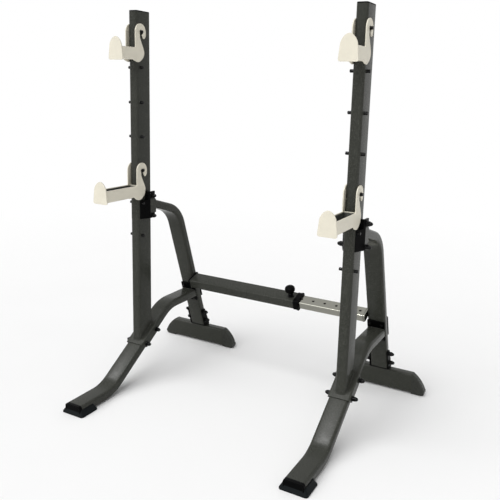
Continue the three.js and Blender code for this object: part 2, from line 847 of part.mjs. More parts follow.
// The moulded boot on the leg's front end, with a flared sole, side walls and an end wall.
function frontBoot() {
  const centre = bootLength / 2 - bootFront;
  const sole = { width: bootWidth, depth: bootLength, corner: bootCorner, y: centre, z: 0 };
  const soleTop = { ...sole, z: bootSole };
  const wallTop = {
    width: bootTopWidth,
    depth: bootLength - 2 * bootLip,
    corner: bootCorner,
    y: centre,
    z: bootWall,
  };
  const tubeSpace = rounded(legWidth + 2 * seatGap, legDepth + 2 * seatGap, tubeCorner, 0, legFlatHeight);
  const space = alongY(tubeSpace, bootLip + plugThickness - bootFront, overrun);
  const plug = alongY(
    rounded(legWidth, legDepth, tubeCorner, 0, legFlatHeight),
    bootLip - bootFront,
    bootLip + plugThickness - bootFront,
  );
  const flare = join(flaredBlock(sole, soleTop), flaredBlock(soleTop, wallTop));
  return join(cut(flare, space), plug);
}

function rearFootTube() {
  const height = rearFootHeight - rearFootLift;
  const section = roundedRing(
    rearFootDepth,
    height,
    tubeCorner,
    tubeWall,
    rearFootCentre,
    rearFootLift + height / 2,
  );
  return alongX(section, -rearFootSeam, rearFootSeam);
}

// A moulded end cap of the rear foot, with a round toe and a plug in the tube.
function rearFootCap(side) {
  const start = rearFootSeam + seatGap;
  const length = rearFootHalf - start;
  const outline = new THREE.Shape();
  outline.moveTo(side * start, 0);
  outline.lineTo(side * (rearFootHalf - capToeRadius), 0);
  outline.quadraticCurveTo(side * rearFootHalf, 0, side * rearFootHalf, capToe);
  outline.quadraticCurveTo(
    side * (start + capBulgeShares[0] * length),
    capBulgeShares[1] * rearFootHeight,
    side * start,
    rearFootHeight,
  );
  outline.closePath();
  const half = rearFootDepth / 2;
  const blank = alongY(outline, rearFootCentre - half, rearFootCentre + half);
  const section = rounded(rearFootDepth, rearFootHeight, tubeCorner, rearFootCentre, rearFootHeight / 2);
  const ends = [side * start, side * rearFootHalf].sort((a, b) => a - b);
  const toe = blank.intersect(alongX(section, ...ends));
  const inside = 2 * (tubeWall + seatGap);
  const height = rearFootHeight - rearFootLift;
  const plugSection = rounded(
    rearFootDepth - inside,
    height - inside,
    tubeCorner - tubeWall,
    rearFootCentre,
    rearFootLift + height / 2,
  );
  const plugEnds = [side * (start - capPlug), side * (start + capToeRadius)].sort((a, b) => a - b);
  return join(toe, alongX(plugSection, ...plugEnds));
}

// Ears either side of the brace's lower end on a base plate on the foot.
function rearBracket() {
  const low = rearFootHeight + seatGap;
  const innerHalf = braceWidth / 2 + seatGap;
  const outerHalf = innerHalf + bracketPlate;
  const halfRun = braceHalfRun - earInset;
  const baseHalf = rearFootDepth / 2 - tubeCorner / 2;
  const baseFront = braceFootBack - halfRun;
  const ear = new THREE.Shape();
  const topBack = braceAxisBack(earHeight);
  ear.moveTo(baseFront, low);
  ear.lineTo(rearFootCentre + baseHalf, low);
  ear.lineTo(rearFootCentre + baseHalf, low + bracketPlate);
  ear.lineTo(topBack + halfRun, earHeight - earCorner);
  ear.quadraticCurveTo(topBack + halfRun, earHeight, topBack + halfRun - earCorner, earHeight);
  ear.lineTo(topBack - halfRun + earCorner, earHeight);
  ear.quadraticCurveTo(topBack - halfRun, earHeight, topBack - halfRun, earHeight - earCorner);
  ear.closePath();
  const ears = [-1, 1].map((side) =>
    alongX(ear, ...[side * innerHalf, side * outerHalf].sort((a, b) => a - b)),
  );
  const base = polygon([
    [baseFront, low],
    [rearFootCentre + baseHalf, low],
    [rearFootCentre + baseHalf, low + bracketPlate],
    [baseFront, low + bracketPlate],
  ]);
  const across = innerHalf + bracketPlate / 2;
  const holes = rearBoltHeights.map((height) =>
    bore("x", boltHole, 2 * legWidth, [-legWidth, braceAxisBack(height), height]),
  );
  return cut(join(...ears, alongX(base, -across, across)), ...holes);
}

// One stand, its pieces named with the side it stands on.
function stand(side) {
  const group = new THREE.Group();
  const add = (name, solid, material, at = [0, 0, 0]) => {
    const made = mesh(`${side}_${name}`, solid, material);
    made.position.set(...at);
    group.add(made);
  };
  add("upright", upright(), frameGrey);
  add("upright_cap", uprightCap(), blackPlastic);
  const hooks = [
    ["upper_hook", aboveUpperHookCount, upperHookReach, upperLobeDrop],
    ["lower_hook", aboveLowerHookCount, lowerHookReach, lowerLobeDrop],
  ];
  for (const [name, peg, reach, lobeDrop] of hooks) {
    const at = [0, pegInset, pegHeights[peg]];
    add(name, hook(reach, lobeDrop), hookCream, at);
    add(`${name}_liner`, hookLiner(reach), linerGrey, at);
  }
  add("top_bracket_left_cheek", topCheek(-1), blackPaint);
  add("top_bracket_right_cheek", topCheek(1), blackPaint);
  topBoltHeights.forEach((height, i) => {
    const name = ["top_bracket_upper_bolt", "top_bracket_lower_bolt"][i];
    add(name, tieBolt(cheekReach + seatGap), blackPlastic, [0, topBoltBack, height]);
  });
  add("rear_brace", rearBrace(), frameGrey);
  add("front_leg", frontLeg(), frameGrey);
  add("leg_flange", legFlange(), blackPaint);
  add("leg_backing_plate", backingPlate(), blackPaint);
  add("saddle", saddle(), frameGrey);
  const saddleHalf = legWidth / 2 + saddlePlate + 2 * seatGap;
  saddleBoltBacks.forEach((back, i) => {
    const name = ["saddle_front_bolt", "saddle_rear_bolt"][i];
    add(name, tieBolt(saddleHalf), blackPlastic, [0, back, legAxisHeight(back)]);
  });
  add("front_boot", frontBoot(), blackPlastic);
  add("rear_foot", rearFootTube(), frameGrey);
  add("rear_foot_left_cap", rearFootCap(-1), frameGrey);
  add("rear_foot_right_cap", rearFootCap(1), frameGrey);
  add("rear_bracket", rearBracket(), blackPaint);
  const earHalf = braceWidth / 2 + bracketPlate + 2 * seatGap;
  rearBoltHeights.forEach((height, i) => {
    const name = ["rear_bracket_upper_bolt", "rear_bracket_lower_bolt"][i];
    add(name, tieBolt(earHalf), blackPlastic, [0, braceAxisBack(height), height]);
  });
  return group;
}

// The cross tube's own frame: X across, Y square to the brace, Z out of its top face.
const braceFaceX = standSpacing / 2 - braceWidth / 2 - seatGap;
const pinHole = (radius) => bore("z", radius, outerTubeHeight, [pinAcross, 0, 0]);

function outerTube() {
  const section = roundedRing(outerTubeDepth, outerTubeHeight, outerTubeCorner, tubeWall);
  const tube = alongX(section, crossPlate + seatGap - braceFaceX, collarFront - collarEnd - seatGap);
  return cut(tube, pinHole(pinDiameter / 2 + pinClearance));
}

// The collar closes the outer tube's end, and its bush guides the inner tube.
function collar() {
  const tubeEnd = collarFront - collarEnd;
  const outside = [outerTubeDepth + 2 * collarWall, outerTubeHeight + 2 * collarWall, outerTubeCorner + collarWall];
  const sleeve = alongX(roundedRing(...outside, collarWall - seatGap), collarBack, collarFront);
  const bushWall = (outerTubeDepth - innerTubeDepth) / 2 - tubeWall - 2 * seatGap;
  const bushOutside = [
    outerTubeDepth - 2 * (tubeWall + seatGap),
    outerTubeHeight - 2 * (tubeWall + seatGap),
    outerTubeCorner - tubeWall,
  ];
  const bush = alongX(roundedRing(...bushOutside, bushWall), bushBack, collarFront);
  const end = alongX(rounded(...outside), tubeEnd, collarFront);
  const clear = [innerTubeDepth + 2 * seatGap, innerTubeHeight + 2 * seatGap, innerTubeCorner];
  const bore = alongX(rounded(...clear), bushBack - overrun, collarFront + overrun);
  return cut(join(sleeve, bush, end), bore, pinHole(pinDiameter / 2 + pinClearance));
}

function innerTube() {
  const section = roundedRing(innerTubeDepth, innerTubeHeight, innerTubeCorner, tubeWall);
  const tube = alongX(section, innerTubeStart, braceFaceX - crossPlate - seatGap);
  const holes = [];
  for (let i = -outwardHoleCount; i <= inwardHoleCount; i++) {
    holes.push(bore("z", holeDiameter / 2, outerTubeHeight, [pinAcross + i * holePitch, 0, 0]));
  }
  return cut(tube, ...holes);
}

function crossBracket(from) {
  return alongX(rounded(crossPlateDepth, crossPlateHeight, outerTubeCorner), from, from + crossPlate);
}

// The pin's own frame is on the outer tube's top face, with Z out of it.
const housingLow = seatGap;
const shoulderLow = seatGap;
const shoulderTop = shoulderLow + pinShoulderHeight;
// The pin reaches through the walls into a hole, and its full travel lifts it clear of the inner tube.
const pinDepth = (outerTubeHeight - innerTubeHeight) / 2 + pinTravel - pinLiftClearance;
// The housing leaves room for the travel and for the spring pressed solid.
const springSolid = (springTurnCount + 1) * springWire;
const housingHeight = shoulderTop + pinTravel + springSolid + housingTop;

function pinHousing() {
  return cut(
    turned([
      [0, housingLow],
      [housingFlangeDiameter / 2, housingLow],
      [housingFlangeDiameter / 2, housingFlangeHeight],
      [housingDiameter / 2, housingFlangeHeight],
      [housingDiameter / 2, housingHeight - turnedChamfer],
      [housingDiameter / 2 - turnedChamfer, housingHeight],
      [0, housingHeight],
    ]),
    bore("z", housingBore / 2, housingHeight - housingTop + overrun, [0, 0, -overrun]),
    bore("z", pinStemDiameter / 2 + pinClearance, 2 * housingHeight, [0, 0, 0]),
  );
}

function springPin() {
  return turned([
    [0, -pinDepth],
    [pinDiameter / 2 - turnedChamfer, -pinDepth],
    [pinDiameter / 2, turnedChamfer - pinDepth],
    [pinDiameter / 2, shoulderLow],
    [pinShoulderDiameter / 2, shoulderLow],
    [pinShoulderDiameter / 2, shoulderTop],
    [pinStemDiameter / 2, shoulderTop],
    [pinStemDiameter / 2, housingHeight + seatGap + knobSocketDepth],
    [0, housingHeight + seatGap + knobSocketDepth],
  ]);
}

function pinKnob() {
  const low = housingHeight + seatGap;
  const half = knobDiameter / 2;
  const neck = knobNeckDiameter / 2;
  const crown = [];
  for (let i = 0; i <= curveSteps; i++) {
    const angle = (i / curveSteps) * Math.PI * 0.5;
    crown.push([half * Math.cos(angle), low + knobHeight / 2 + (knobHeight / 2) * Math.sin(angle)]);
  }
  crown[curveSteps][0] = 0;
  const body = turned([[0, low], [neck, low], [half, low + knobHeight / 3], ...crown], knobSides);
  return cut(body, bore("z", pinStemDiameter / 2 + seatGap, knobSocketDepth + 2 * seatGap, [0, 0, low - seatGap]));
}

// The pin's coil spring, between its shoulder and the top of the housing.
class Helix extends THREE.Curve {
  getPoint(t) {
    const low = shoulderTop + springWire / 2 + seatGap;
    const high = housingHeight - housingTop - springWire / 2 - seatGap;
    const angle = t * springTurnCount * Math.PI * 2;
    const radius = springCoil / 2;
    return new THREE.Vector3(radius * Math.cos(angle), radius * Math.sin(angle), low + t * (high - low));
  }
}
function pinSpring() {
  const wire = new THREE.Shape();
  wire.absarc(0, 0, springWire / 2, 0, Math.PI * 2);
  const geometry = new THREE.ExtrudeGeometry(new THREE.Shape(wire.getSpacedPoints(springSides)), {
    extrudePath: new Helix(),
    steps: springTurnCount * springTurnSteps,
    bevelEnabled: false,
  });
  return solidOf(geometry);
}

const squatStand = new THREE.Group();
squatStand.position.set(0, -depthShift, 0);
const leftStand = stand("left");
leftStand.position.x = -standSpacing / 2;
const rightStand = stand("right");
rightStand.position.x = standSpacing / 2;

const crossMember = new THREE.Group();
crossMember.position.set(0, braceAxisBack(crossHeight) - crossForward, crossHeight);
crossMember.rotation.x = braceTilt;
crossMember.add(
  mesh("cross_left_plate", crossBracket(-braceFaceX), blackPaint),
  mesh("cross_outer_tube", outerTube(), frameGrey),
  mesh("cross_collar", collar(), blackPlastic),
  mesh("cross_inner_tube", innerTube(), chrome),
  mesh("cross_right_plate", crossBracket(braceFaceX - crossPlate), blackPaint),
);
const pinGroup = new THREE.Group();
pinGroup.position.set(pinAcross, 0, outerTubeHeight / 2);
pinGroup.add(
  mesh("pin_housing", pinHousing(), chrome),
  mesh("spring_pin", springPin(), chrome),
  mesh("pin_knob", pinKnob(), blackPlastic),
  mesh("pin_spring", pinSpring(), chrome),
);
crossMember.add(pinGroup);
squatStand.add(leftStand, rightStand, crossMember);

export default squatStand;
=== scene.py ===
"""Squat stand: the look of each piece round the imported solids. Made in millimetres, placed in metres."""
import json
import math
import random

import bmesh
import bpy
from mathutils import Matrix, Vector

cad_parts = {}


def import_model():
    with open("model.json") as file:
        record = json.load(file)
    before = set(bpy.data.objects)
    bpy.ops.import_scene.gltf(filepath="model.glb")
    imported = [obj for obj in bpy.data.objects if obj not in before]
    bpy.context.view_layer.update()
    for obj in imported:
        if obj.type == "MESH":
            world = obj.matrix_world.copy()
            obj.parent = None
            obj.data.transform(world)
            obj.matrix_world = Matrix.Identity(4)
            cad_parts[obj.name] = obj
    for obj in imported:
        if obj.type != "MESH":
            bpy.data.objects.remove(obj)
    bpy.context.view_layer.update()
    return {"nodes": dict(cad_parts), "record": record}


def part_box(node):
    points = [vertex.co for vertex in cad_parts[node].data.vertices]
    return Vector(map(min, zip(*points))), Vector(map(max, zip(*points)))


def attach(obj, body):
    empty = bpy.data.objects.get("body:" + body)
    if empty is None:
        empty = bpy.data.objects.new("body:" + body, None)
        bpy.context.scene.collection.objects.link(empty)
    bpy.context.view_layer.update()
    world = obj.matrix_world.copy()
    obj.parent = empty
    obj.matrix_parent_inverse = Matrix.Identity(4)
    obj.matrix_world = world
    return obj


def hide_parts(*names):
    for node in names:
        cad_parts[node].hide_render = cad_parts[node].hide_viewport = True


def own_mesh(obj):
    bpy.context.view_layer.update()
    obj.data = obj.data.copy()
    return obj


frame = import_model()
nodes = frame["nodes"]
slots = {row["node"]: row["material_slot"] for row in frame["record"]["subparts"]}
scene = bpy.context.scene

MM = 0.001
QUARTER = math.pi / 2

# Fineness of round shapes, as counts
CORNER_STEPS = 8
BEND_STEPS = 18
TURN_SIDES = 40
CURVE_STEPS = 12
BEAD_SIDES = 8
CROWN_STEPS = 4 * CURVE_STEPS
CAP_STATIONS = 26

# Rounded edges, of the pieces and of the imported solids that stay
EDGE_ANGLE = math.radians(32)
EDGE_SEGMENTS = 3
SOLID_EDGE = 0.8
SOLID_EDGE_ANGLE = math.radians(40)

# Noise of the finishes
NOISE_SPAN = (0.3, 0.7)
TINT_DETAIL = 3.0
GRAIN_DETAIL = 2.0

# Tube stock
TUBE_WALL = 3
TUBE_CORNER = 12
SEAT_GAP = 0.3

# Upright and its pegs
UPRIGHT_WIDTH = 50
UPRIGHT_DEPTH = 100
UPRIGHT_HEIGHT = 1830
UPRIGHT_CENTRE = (0, UPRIGHT_DEPTH / 2)
CAP_THICKNESS = 5
PEG_RADIUS = 7
PEG_INSET = 22
PEG_TOP_DROP = 91.5
PEG_PITCH = 163.1
PEG_COUNT = 7
PEG_REACH = 18
PEG_CHAMFER = 1.6
CAP_EDGE = 2.5
LOWER_HOOK_PEG = 4
BRACKET_PEG = 5
COVERED_PEGS = (0, LOWER_HOOK_PEG, BRACKET_PEG)

# Weld beads as radii and a step, their ripples as shares, and their seeds
PEG_WELD = 1.5
FOOT_WELD = 2.4
HOOK_WELD = 1.6
FLANGE_WELD = 2.2
WELD_STEP = 2.2
BEAD_RIPPLE = 0.16
BEAD_UNEVENNESS = 0.1
PEG_WELD_SEED = 11
FOOT_WELD_SEED = 5
HOOK_WELD_SEED = 3
LEG_WELD_SEED = 21
CROSS_WELD_SEEDS = {"outer": 31, "inner": 32}

# Camera, settled on the uprights' and feet's corners
YAW = math.radians(27.470)
PITCH = math.radians(11.401)
ROLL = math.radians(1.823)
CAMERA_PLACE = (1.4278, -2.4473, 1.4942)
CAMERA_LENS = 44.85
CAMERA_SENSOR = 36
CAMERA_SHIFT = (-0.0417, -0.0701)

# Light in strengths, watts and metres, and the floor, whose far part fades into the white background
AMBIENT = 0.42
SKY_STRENGTH = 2.5
SKY_SPREAD = math.radians(70)
SKY_TILT = (math.radians(36), math.radians(-16), 0)
SIDE_POWER = 6
SIDE_PLACE = (4.0, -0.5, 0.6)
SIDE_SIZE = (3.0, 1.0)
SIDE_TARGET = (0, 0, 0.3)
GLARE_POWER = 20
GLARE_ACROSS = {"right": -0.36, "left": -2.72}
GLARE_BACK = -0.86
GLARE_HEIGHT = 3.0
GLARE_SIZE = (0.36, 0.22)
FLOOR_HALF = 60
FLOOR_COLOUR = (0.93, 0.93, 0.93)
FLOOR_FADE = (2.0, 5.0)

# Hooks, measured from the peg they hang on
HOOK_PLATE = 5
HOOK_CLEARANCE = 0.8
CROWN_RADIUS = 37.5
EYE_BACK = 20
EYE_CORNER = 5
ARM_TOP_DROP = 72.5
ARM_BOTTOM_DROP = 127
ARM_CORNER = 5
FRONT_PLATE = 6
FRONT_PLATE_WIDTH = 82
FRONT_PLATE_SHOULDER = 71
FRONT_PLATE_SHOULDER_DROP = 73
FRONT_PLATE_TOP_DROP = 30
FRONT_PLATE_BOTTOM_DROP = 134
FRONT_PLATE_CORNER = 9
CROWN_POWER_SHARE = 1.16
BACK_PLATE = 6
WEB_PLATE = 5
LINER_WALL = 3
LINER_INSET = 3

# Peg, reach and lobe's drop of each hook
HOOKS = {"upper": (0, 120, 138), "lower": (LOWER_HOOK_PEG, 240, 144)}

# Points of a hook's side outline as shares, back and down from its peg
NECK_SHARES = [(-0.15, 0.19), (0.16, 0.39), (0.5, 0.58), (0.67, 0.75)]
LOBE_SHARES = [(0.42, 0.86), (-0.35, 1), (-1.07, 0.97)]
LOBE_START_SHARE = 1.52
FINGER_SHARES = [(0.43, 0.21), (0.27, 0.38), (0.56, 0.82), (0.76, 0.87), (0.97, 0.5)]

# Front leg and boot
LEG_WIDTH = 90
LEG_DEPTH = 44
LEG_FLAT_HEIGHT = 26
LEG_LEVEL_HEIGHT = 332
LEG_KNEE_BACK = 222
LEG_REAR_KNEE = 235
LEG_BEND = 190
BOOT_FRONT = 455
BOOT_WIDTH = 124
BOOT_LENGTH = 104
BOOT_SOLE = 8
BOOT_WALL = 30
BOOT_TOP_WIDTH = 98
BOOT_CORNER = 12
BOOT_LIP = 10
BOOT_FLARE_SHARE = 0.8
PLUG_RIM = 5
PLUG_EDGE = 1.5
PLUG_RECESS = 2
PLUG_DEPTH = 10
PLUG_FORWARD = 5.5
PLUG_TAPER = 1
PLUG_CORNER = 3

# Inset and height of the boot's sole at each edge
BOOT_SOLE_LEVELS = [(1.2, 0), (0, 1.2), (0, 6.5), (1, BOOT_SOLE)]

# Rear brace
BRACE_WIDTH = 90
BRACE_DEPTH = 42
BRACE_TOP_DROP = 11
BRACE_TOP_SHARE = 0.3
BRACE_BOTTOM_SHARE = 0.357
BRACE_BEND = 170
BRACE_FOOT_INSET = 10

# Rear foot and its bracket
FOOT_CENTRE = 590
FOOT_DEPTH = 50
FOOT_HEIGHT = 106
FOOT_LIFT = 6
FOOT_HALF = 237
FOOT_SEAM = 170
FOOT_TOE = 24
FOOT_TOE_RADIUS = 14
FOOT_BULGE_SHARES = (0.68, 0.72)
CAP_TIP = 0.6
CAP_NARROWING = 9
CAP_NARROWING_POWER = 3
CAP_NARROW_SHARE = 0.45
CAP_CORNER_DIVISOR = 2.2
BRACKET_PLATE = 5
EAR_RISE = 109
EAR_INSET = 3
EAR_CORNER = 8
REAR_BOLT_RISES = {"upper": 92, "lower": 38}

# Top bracket and the brace's fork
BRACKET_BELOW = 79
BRACKET_ABOVE = 55
CHEEK_REACH = 50
CHEEK_FLARE_BACK = 61
CHEEK_BACK = 96
WINDOW_BELOW = 55
WINDOW_ABOVE = 20
FORK_PLATE = 5
FORK_BACK = 106
FORK_LAP = 20
FORK_SLANT = 10
BOSS_RADIUS = 11
TOP_BOLT_BACK = 72
TOP_BOLT_RISES = {"upper": 35, "lower": -66}

# Bolts
WASHER_RADIUS = 13
WASHER_THICKNESS = 2.5
NUT_ACROSS_FLATS = 20
NUT_HEIGHT = 12
DOME_HEIGHT = 12
DOME_INSET = 1
HEX_SIDES = 6
BOLT_RADIUS = 5

# Saddle and flange
SADDLE_PLATE = 5
SADDLE_FRONT = 3
SADDLE_BACK = 122
SADDLE_DROP = 46
SADDLE_SLANT = 20
SADDLE_BEND = 7
SADDLE_BOLT_BACKS = {"front": 22, "rear": 100}
CUT_OVERRUN = 1
FLANGE_WIDTH = 90
FLANGE_HIGH = 68
FLANGE_LOW = 47
FLANGE_PLATE = 6
FLANGE_CORNER = 6
FLANGE_BOLT_SIDE = 28
FLANGE_BOLT_RISE = 48
FLANGE_BOLT_DROP = 36
FLANGE_HEAD_RADIUS = 8
FLANGE_HEAD_HEIGHT = 6
FLANGE_HEAD_INSET = 1
FLANGE_WASHER = 1
FLANGE_WASHER_CROWN = 1.4

# Cross tube
OUTER_DEPTH = 80
OUTER_HEIGHT = 50
OUTER_CORNER = 6
OUTER_WALL = 3
INNER_DEPTH = 68
INNER_HEIGHT = 38
INNER_CORNER = 5
COLLAR_BACK = 131
COLLAR_FRONT = 161
COLLAR_WALL = 3
COLLAR_END = 6
COLLAR_RIM = 2
COLLAR_RIM_WIDTH = 9
HOLE_PITCH = 63.5
HOLE_RADIUS = 6.5
HOLES = range(-1, 7)
PIN_ACROSS = 102.6
HOUSING_RADIUS = 13
HOUSING_HEIGHT = 24.3
HOUSING_FLANGE_RADIUS = 17
HOUSING_FLANGE_HEIGHT = 4
HOUSING_EDGE = 0.8
KNOB_RADIUS = 26.5
KNOB_HEIGHT = 36
KNOB_FULLNESS_SHARE = 0.72
KNOB_NECK_RADIUS = 13
KNOB_EDGE = 1
KNOB_SOCKET = 20
HOUSING_BORE = 18
HOUSING_TOP = 4
TURNED_CHAMFER = 1.5
PIN_RADIUS = 6
PIN_TRAVEL = 9
PIN_LIFT_CLEARANCE = 2
PIN_SHOULDER_RADIUS = 8
PIN_SHOULDER_HEIGHT = 3
PIN_STEM_RADIUS = 4
SPRING_WIRE = 1.6
SPRING_COIL = 12.4
SPRING_TURNS = 4
INNER_START = -113
CROSS_PLATE = 8

# Rim, depth and height of each end plate, and its look where it isn't its node's
CROSS_PLATES = {
    "left": (5, OUTER_DEPTH, OUTER_HEIGHT, None),
    "right": (0.5, INNER_DEPTH, INNER_HEIGHT, "chrome"),
}

# Places worked out from the sizes above
PEG_HEIGHTS = [UPRIGHT_HEIGHT - PEG_TOP_DROP - i * PEG_PITCH for i in range(PEG_COUNT)]
TOP_BOLT_HEIGHTS = {name: PEG_HEIGHTS[BRACKET_PEG] + rise for name, rise in TOP_BOLT_RISES.items()}
LEG_SLOPE = (LEG_LEVEL_HEIGHT - LEG_FLAT_HEIGHT) / (LEG_REAR_KNEE + LEG_KNEE_BACK)
LEG_ANGLE = math.atan(LEG_SLOPE)
BRACE_TILT = math.atan(BRACE_BOTTOM_SHARE)
BRACE_FOOT_HEIGHT = FOOT_HEIGHT + 2 * SEAT_GAP + BRACKET_PLATE
BRACE_FOOT_BACK = FOOT_CENTRE - BRACE_FOOT_INSET


def brace_axis_back(height):
    """Place of the brace's centreline at a height on its lower straight."""
    return BRACE_FOOT_BACK - BRACE_BOTTOM_SHARE * (height - BRACE_FOOT_HEIGHT)


def leg_axis_height(back):
    """Height of the leg's centreline on its incline."""
    return LEG_LEVEL_HEIGHT - LEG_SLOPE * (LEG_REAR_KNEE - back)


def stand_frame(side):
    """From a stand's millimetres, measured from its upright's front face and the floor, to the scene."""
    low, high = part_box(f"{side}_upright")
    return Matrix.Translation(((low.x + high.x) / 2, low.y, 0)) @ Matrix.Scale(MM, 4)


def cross_frame():
    """From the cross tube's millimetres, with Z out of its top face, to the scene."""
    low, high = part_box("cross_left_plate")
    centre = (low + high) / 2
    turn = Matrix.Rotation(BRACE_TILT, 4, "X")
    return Matrix.Translation((0, centre.y, centre.z)) @ turn @ Matrix.Scale(MM, 4)


# Outlines

def rectangle(left, right, low, high):
    return [(left, low), (right, low), (right, high), (left, high)]


def circle(radius, sides=TURN_SIDES):
    angles = [2 * math.pi * k / sides for k in range(sides)]
    return [(radius * math.cos(angle), radius * math.sin(angle)) for angle in angles]


def rounded_loop(width, height, corner, centre=(0, 0), inset=0):
    """Points round a rectangle with round corners, drawn in by an inset on every side."""
    radius = corner - inset
    loop = []
    for quarter, (sign_x, sign_y) in enumerate(((1, 1), (-1, 1), (-1, -1), (1, -1))):
        for k in range(CORNER_STEPS + 1):
            angle = (quarter + k / CORNER_STEPS) * QUARTER
            x = sign_x * (width / 2 - inset - radius) + radius * math.cos(angle)
            y = sign_y * (height / 2 - inset - radius) + radius * math.sin(angle)
            loop.append((centre[0] + x, centre[1] + y))
    return loop


def tube_section(width, height, corner=TUBE_CORNER, wall=TUBE_WALL, centre=(0, 0)):
    """Outer and inner outline of a rectangular tube."""
    return [rounded_loop(width, height, corner, centre, inset) for inset in (0, wall)]


def at_height(loop, height):
    """A loop in X and Y, lifted to a height."""
    return [(x, y, height) for x, y in loop]


def at_places(loop, places):
    """A loop in Y and Z, repeated at places along X."""
    return [[(x, y, z) for y, z in loop] for x in places]


def catmull(before, start, end, after, t):
    """One coordinate of a smooth curve from start to end."""
    slope_in = (end - before) / 2
    slope_out = (after - start) / 2
    cubic = 2 * start - 2 * end + slope_in + slope_out
    square = -3 * start + 3 * end - 2 * slope_in - slope_out
    return cubic * t**3 + square * t**2 + slope_in * t + start


class Outline:
    """A flat outline drawn with lines, arcs and curves."""

    def __init__(self, start):
        self.points = [start]

    def line(self, *point):
        self.points.append(point)
        return self

    def arc(self, centre, radius, first, last, steps=CURVE_STEPS):
        for k in range(steps + 1):
            angle = first + (last - first) * k / steps
            x = centre[0] + radius * math.cos(angle)
            y = centre[1] + radius * math.sin(angle)
            self.points.append((x, y))
        return self

    def bow(self, control, end, steps=CURVE_STEPS):
        start = self.points[-1]
        for k in range(1, steps + 1):
            t = k / steps
            weights = ((1 - t) ** 2, 2 * t * (1 - t), t * t)
            x = sum(w * p[0] for w, p in zip(weights, (start, control, end)))
            y = sum(w * p[1] for w, p in zip(weights, (start, control, end)))
            self.points.append((x, y))
        return self

    def spline(self, through):
        knots = [self.points[-1], *through]
        last = len(knots) - 1
        for i in range(last):
            four = [knots[max(0, min(last, i + j))] for j in (-1, 0, 1, 2)]
            for k in range(1, CURVE_STEPS + 1):
                t = k / CURVE_STEPS
                self.points.append(tuple(catmull(*(p[axis] for p in four), t) for axis in (0, 1)))
        return self

    def closed(self):
        """The points without neighbours that coincide."""
        kept = []
        for point in self.points:
            if not kept or math.dist(point, kept[-1]) > MM:
                kept.append(point)
        if math.dist(kept[0], kept[-1]) < MM:
            kept.pop()
        return kept


# Solids as points and faces

class Shape:
    """Points and faces of a piece, in millimetres."""

    def __init__(self):
        self.points = []
        self.faces = []

    def add(self, points, faces):
        start = len(self.points)
        self.points += [Vector(p) for p in points]
        self.faces += [[start + i for i in face] for face in faces]
        return self

    def skin(self, rings, loop=False):
        """A surface through rings of equally many points, closed at its ends or joined in a loop."""
        count = len(rings[0])
        faces = []
        last = len(rings) if loop else len(rings) - 1
        for i in range(last):
            near, far = i * count, (i + 1) % len(rings) * count
            for j in range(count):
                k = (j + 1) % count
                faces.append([near + j, near + k, far + k, far + j])
        if not loop:
            faces.append(list(range(count)))
            faces.append([(len(rings) - 1) * count + j for j in range(count)])
        return self.add([p for ring in rings for p in ring], faces)

    def pipe(self, outer, inner):
        """A hollow run between outer and inner rings, with its wall closed at both ends."""
        return self.skin(outer + inner[::-1], loop=True)

    def prism(self, outline, low, high, axis="x"):
        """An outline drawn out along X, Y or Z."""
        place = {
            "x": lambda a, b, c: (c, a, b),
            "y": lambda a, b, c: (a, c, b),
            "z": lambda a, b, c: (a, b, c),
        }[axis]
        return self.skin([[place(a, b, c) for a, b in outline] for c in (low, high)])

    def twins(self, outline, near, far):
        """An outline drawn out along X on both sides of the middle."""
        for sign in (-1, 1):
            self.prism(outline, sign * near, sign * far)
        return self

    def turned(self, profile, place=Matrix.Identity(4), sides=TURN_SIDES, loop=False):
        """A half outline of (radius, height) turned about Z, then placed."""
        rings = []
        for radius, height in profile:
            rings.append([place @ Vector((x, y, height)) for x, y in circle(radius, sides)])
        return self.skin(rings, loop)

    def bead(self, path, radius, seed, closed=True):
        """A weld bead along a path, with the ripples and small unevenness of a weld."""
        rng = random.Random(seed)
        rings = []
        count = len(path)
        for i, point in enumerate(path):
            ahead = Vector(path[(i + 1) % count]) if closed or i + 1 < count else Vector(point)
            behind = Vector(path[i - 1]) if closed or i else Vector(point)
            heading = (ahead - behind).normalized()
            side = heading.orthogonal().normalized()
            up = heading.cross(side)
            unevenness = rng.uniform(-BEAD_UNEVENNESS, BEAD_UNEVENNESS)
            swell = radius * (1 + BEAD_RIPPLE * (-1) ** i + unevenness)
            ring = [Vector(point) + swell * (a * side + b * up) for a, b in circle(1, BEAD_SIDES)]
            if rings:
                ring = turned_to_match(rings[-1], ring)
            rings.append(ring)
        return self.skin(rings, closed)


def turned_to_match(before, ring):
    """The ring, started at the point nearest to the start of the ring before it."""
    start = min(range(len(ring)), key=lambda i: (ring[i] - before[0]).length)
    turned = ring[start:] + ring[:start]
    back = [turned[0]] + turned[1:][::-1]
    return min((turned, back), key=lambda r: (r[1] - before[1]).length)


def along(path, step):
    """Points at an even step along a closed path."""
    points = [Vector(p) for p in path]
    points.append(points[0])
    found = []
    left = 0.0
    for a, b in zip(points, points[1:]):
        length = (b - a).length
        while left < length:
            found.append(a.lerp(b, left / length))
            left += step
        left -= length
    return found


def bent_run(corners, radius):
    """Stations (Y, Z, heading) of a run through corners, with round bends."""
    stations = []
    for i, (y, z) in enumerate(corners):
        before = after = None
        if i:
            before = math.atan2(z - corners[i - 1][1], y - corners[i - 1][0])
        if i + 1 < len(corners):
            after = math.atan2(corners[i + 1][1] - z, corners[i + 1][0] - y)
        if before is None or after is None:
            stations.append((y, z, after if before is None else before))
            continue
        turn = after - before
        side = math.copysign(radius, turn)
        reach = radius * math.tan(abs(turn) / 2)
        centre_y = y - reach * math.cos(before) - side * math.sin(before)
        centre_z = z - reach * math.sin(before) + side * math.cos(before)
        for k in range(BEND_STEPS + 1):
            angle = before + turn * k / BEND_STEPS
            stations.append((centre_y + side * math.sin(angle), centre_z - side * math.cos(angle), angle))
    return stations


